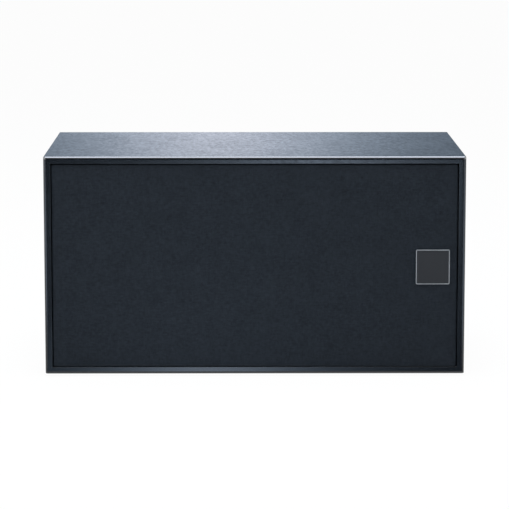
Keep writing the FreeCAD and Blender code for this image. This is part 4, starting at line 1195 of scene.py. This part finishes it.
@dataclass
class Fasteners:
    """The screws that show on the baffle and on the terminal cup."""

    driver: Screw = Screw(3.4, 2.2, 2, 17.6, Recess.HEXAGON)
    driver_seat: float = 2.0
    woofer_circle: float = 81.5
    tweeter_circle: float = 45
    cup: Screw = Screw(3, 2.1, 1.6, 12.4, Recess.CROSS)
    cup_seat: float = 1.6

    def build(self) -> None:
        """Make both sets of screws."""
        centre = front_centre("driver_screws")
        seat = centre.y + self.driver_seat * MM
        spots = []
        for side in Side:
            axis = Woofer(side).centre
            spots += self.ring(axis.x, seat, axis.z, self.woofer_circle, total=6, start=30)
        spots += self.ring(0, seat, centre.z, self.tweeter_circle, total=4, start=45)
        bm = self.driver.mesh(spots)
        piece(bm, "driver_screws_dressed", BLACK_STEEL, ["driver_screws"], "cabinet")

        low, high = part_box("terminal_cup_screws")
        head = self.cup.head * MM
        seat = high.y - self.cup_seat * MM
        heights = (low.z + head, high.z - head)
        corners = [(x, seat, z) for x in (low.x + head, high.x - head) for z in heights]
        bm = self.cup.mesh(corners, flip=True)
        piece(bm, "cup_screws_dressed", BLACK_STEEL, ["terminal_cup_screws"], "cabinet")

    @staticmethod
    def ring(x: float, y: float, z: float, radius: float, total: int, start: float) -> list[Spot]:
        """Return spots round a circle across Y, from a start in degrees."""
        turns = [math.radians(start + 360 * k / total) for k in range(total)]
        return [(x + radius * MM * math.cos(a), y, z + radius * MM * math.sin(a)) for a in turns]


@dataclass
class TerminalCup:
    """The moulded cup at the back, by half widths and half heights."""

    flange: Pair = (61, 49)
    box: Pair = (52, 40)
    hollow: Pair = (49.5, 37.5)
    corner: float = 10
    hollow_corner: float = 7.5
    flange_thick: float = 3
    wall: float = 2.5
    depth: float = 34
    rim_round: float = 0.7
    floor_round: float = 1.5
    bridge_order: tuple[int, ...] = (1, 3, 0, 2, 4)

    def build(self) -> None:
        """Make the cup from rounded loops, bridged from its flange to its floor."""
        low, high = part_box("terminal_cup")
        rear = high.y / MM
        floor = rear - self.depth + self.wall
        bm = bmesh.new()
        sizes = (
            (self.box, rear - self.depth, self.corner),
            (self.box, rear - self.flange_thick, self.corner),
            (self.flange, rear - self.flange_thick, self.corner),
            (self.flange, rear, self.corner),
            (self.hollow, rear, self.hollow_corner),
            (self.hollow, floor, self.hollow_corner),
        )
        loops = []
        for (across, up), depth, radius in sizes:
            half = (across * MM, up * MM)
            loops.append(rounded_loop(bm, half, depth * MM, radius * MM, steps=6))
        for first in self.bridge_order:
            ops.bridge_loops(bm, edges=loops[first] + loops[first + 1])
        for loop in (loops[0], loops[-1]):
            ops.contextual_create(bm, geom=loop)
        ops.recalc_face_normals(bm, faces=bm.faces)
        for face in bm.faces:
            face.smooth = abs(face.normal.y) < 0.5
        for depth, radius in ((rear, self.rim_round), (floor, self.floor_round)):
            soften(bm, rim_at(bm, depth * MM), radius * MM, steps=4)
        for edge in sharp_edges(bm, degrees=40):
            edge.smooth = False
        ops.translate(bm, vec=(0, 0, (low.z + high.z) / 2), verts=bm.verts)
        name = "terminal_cup_dressed"
        piece(bm, name, BLACK_PLASTIC, ["terminal_cup"], "cabinet")


# Stage: lengths in metres


EDGE_LIGHT: Colour = (0.93, 1.0, 1.146)


@dataclass
class Lamp:
    """A soft box: its place, what it faces, its size and its power."""

    name: str
    place: Spot
    aim: Spot
    size: Pair
    power: float
    mirrored: bool = True
    tint: Colour = (0.87, 0.94, 1.0)

    def build(self) -> None:
        """Hang the lamp out of the camera's sight."""
        light = bpy.data.lights.new(self.name, "AREA")
        light.shape = "RECTANGLE"
        light.size, light.size_y = self.size
        light.energy = self.power
        light.color = self.tint
        hung = stand(light, self.place, self.aim)
        hung.visible_camera = False
        hung.visible_glossy = self.mirrored


@dataclass
class Card:
    """A card that only reflections see, bright round a middle along X and dim away from it."""

    name: str
    low: Spot
    high: Spot
    glow: float = 0.0
    middle: float = 0.0
    spread: float = 1.0
    top: float = 0.0
    fade: float = 0.4
    fall: int = 1
    front: Optional[Pair] = None
    rest: float = 0.02
    tint: Colour = (0.83, 1.0, 1.245)
    edge: Colour = (0.76, 1.0, 1.31)

    def build(self) -> None:
        """Set the card up, its front edge drawn out where that has a width of its own."""
        bm = block(self.low, self.high)
        if self.front:
            edge = [vert for vert in bm.verts if level(vert, self.low[1])]
            widen = (self.front[1] - self.front[0]) / (self.high[0] - self.low[0])
            ops.scale(bm, vec=(widen, 1, 1), verts=edge)
            ops.translate(bm, vec=(self.front[0] - self.low[0] * widen, 0, 0), verts=edge)
        card = show(self.name, bm, self.material())
        for way in ("camera", "diffuse", "transmission", "volume_scatter", "shadow"):
            setattr(card, f"visible_{way}", False)

    def material(self) -> Material:
        """Make the card's glow, which falls off along X and fades out below its top.

        Returns:
            The material.
        """
        made = bpy.data.materials.new(f"stage_{self.name}")
        shader = Shader(made)
        x, _, z = shader.parts(shader.place())
        offset = (x - self.middle) * (1 / self.spread)
        share = (offset * offset + 1).math("POWER", -self.fall)
        if self.top:
            height = (self.top - z) * (1 / (self.fade * self.top))
            share = share * height.math("MINIMUM", 1).math("MAXIMUM", 0)
        lit = shader.mix(share, Vector(self.edge) * self.glow, Vector(self.tint) * self.glow)
        colour = shader.mix(share, Vector(self.edge) * self.rest, lit)
        shine = shader.node("ShaderNodeEmission", inputs={"Color": colour})
        shader.end(shine)
        return made


LAMPS = (
    Lamp("lamp_overhead", (-0.05, -0.35, 2.25), (-0.05, -0.14, 0.26), (0.8, 2.2), 61, mirrored=False),
    Lamp("lamp_left", (-2.6, -1.0, 0.9), (0, 0, 0.1), (1.5, 1.6), 22),
    Lamp("lamp_right", (2.6, -1.0, 0.9), (0, 0, 0.1), (1.5, 1.6), 18),
)
CARDS = (
    Card("card_front", (-2.4, -6.02, 0.02), (2.4, -6, 9.5)),
    Card(
        "card_over", (-0.95, -0.3, 2.2), (0.95, 2.1, 2.21),
        glow=3.6, spread=3, tint=EDGE_LIGHT, edge=EDGE_LIGHT,
    ),
    Card(
        "card_rear", (-1.7, 3, 0), (1.7, 3.02, 6.5),
        glow=1.34, middle=-0.08, spread=0.35, top=1.0,
        tint=(0.945, 1.0, 1.15), edge=(0.755, 1.0, 1.29),
    ),
    Card(
        "card_near", (-0.27, -0.45, 0.001), (0.27, -0.15, 0.002),
        glow=2.8, middle=-0.06, spread=0.16, fall=2, front=(-0.47, 0.47),
    ),
    Card(
        "card_middle", (-0.47, -1.55, 0.001), (0.47, -0.451, 0.002),
        glow=0.2, front=(-1.2, 1.2), rest=0.2,
    ),
    Card(
        "card_far", (-3, -6, 0.001), (3, -1.551, 0.002),
        glow=5.7, middle=0.14, spread=0.21, fall=2,
    ),
    Card(
        "card_left", (-1.9, -1.38, 0.003), (-0.41, -0.4, 0.004),
        glow=2.4, middle=-1, spread=3, front=(-2.6, -1.02),
    ),
    Card(
        "card_right", (0.36, -1.38, 0.003), (1.9, -0.24, 0.004),
        glow=1.8, middle=1, spread=3, front=(1.1, 2.6),
    ),
)


@dataclass
class Studio:
    """The floor, the light and the camera."""

    eye: Spot = (-0.0173, -3.1631, 0.6036)
    aim: Spot = (0.0004, 0.0, 0.1258)
    lens: float = 182.15
    sensor: float = 36.0
    sight: float = 100.0
    floor_half: float = 30.0
    floor_grey: float = 0.86
    floor_glow: float = 0.965
    ambient: float = 0.3

    def build(self) -> None:
        """Set everything up."""
        self.camera()
        self.floor()
        self.world()
        for thing in (*LAMPS, *CARDS):
            thing.build()

    def camera(self) -> None:
        """Stand the camera where the photograph was taken."""
        data = bpy.data.cameras.new("camera")
        data.lens = self.lens
        data.sensor_width = self.sensor
        data.clip_end = self.sight
        bpy.context.scene.camera = stand(data, self.eye, self.aim)
        bpy.context.scene.view_settings.view_transform = "Standard"

    @staticmethod
    def seen(shader: Shader) -> Value:
        """Tell the rays that show a surface from those that it lights.

        Args:
            shader: The tree that asks.

        Returns:
            1 for camera, glossy and transmission rays, and 0 for the rest.
        """
        ray = shader.node("ShaderNodeLightPath", output="Is Camera Ray")
        mirrored = ray.math("MAXIMUM", ray.pick("Is Glossy Ray"))
        return mirrored.math("MAXIMUM", ray.pick("Is Transmission Ray"))

    def floor(self) -> None:
        """Lay a white floor that keeps a faint shadow."""
        bm = bmesh.new()
        ops.create_grid(bm, x_segments=1, y_segments=1, size=self.floor_half)
        material = bpy.data.materials.new("stage_floor")
        shader = Shader(material)
        grey = (*(self.floor_grey,) * 3, 1)
        paint = shader.node("ShaderNodeBsdfDiffuse", inputs={"Color": grey})
        glow = shader.node("ShaderNodeEmission", inputs={"Color": (1, 1, 1, 1), "Strength": 1.0})
        share = self.seen(shader) * self.floor_glow
        both = shader.node("ShaderNodeMixShader", inputs={0: share, 1: paint, 2: glow})
        shader.end(both)
        show("floor", bm, material)

    def world(self) -> None:
        """Fill the room: white to look at, dim as a light."""
        world = bpy.data.worlds.new("room")
        bpy.context.scene.world = world
        shader = Shader(world)
        colour = shader.mix(self.seen(shader), (self.ambient,) * 3, (1, 1, 1))
        sky = shader.node("ShaderNodeBackground", inputs={"Color": colour})
        shader.node("ShaderNodeOutputWorld", inputs={"Surface": sky})


def main() -> None:
    """Build the stage and every sub-assembly, then give the remaining solids their finishes and log them.
    """
    logging.basicConfig(level=logging.INFO, format="%(name)s: %(message)s")
    Studio().build()
    Cabinet().build()
    Grille().build()
    for side in Side:
        Woofer(side).build()
    Tweeter().build()
    Fasteners().build()
    TerminalCup().build()
    for node, finish in SOLID_FINISHES.items():
        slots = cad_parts[node].data.materials
        slots.clear()
        slots.append(finish.material())
        LOG.info("%s: solid, %s", node, finish.name)


if __name__ == "__main__":
    main()
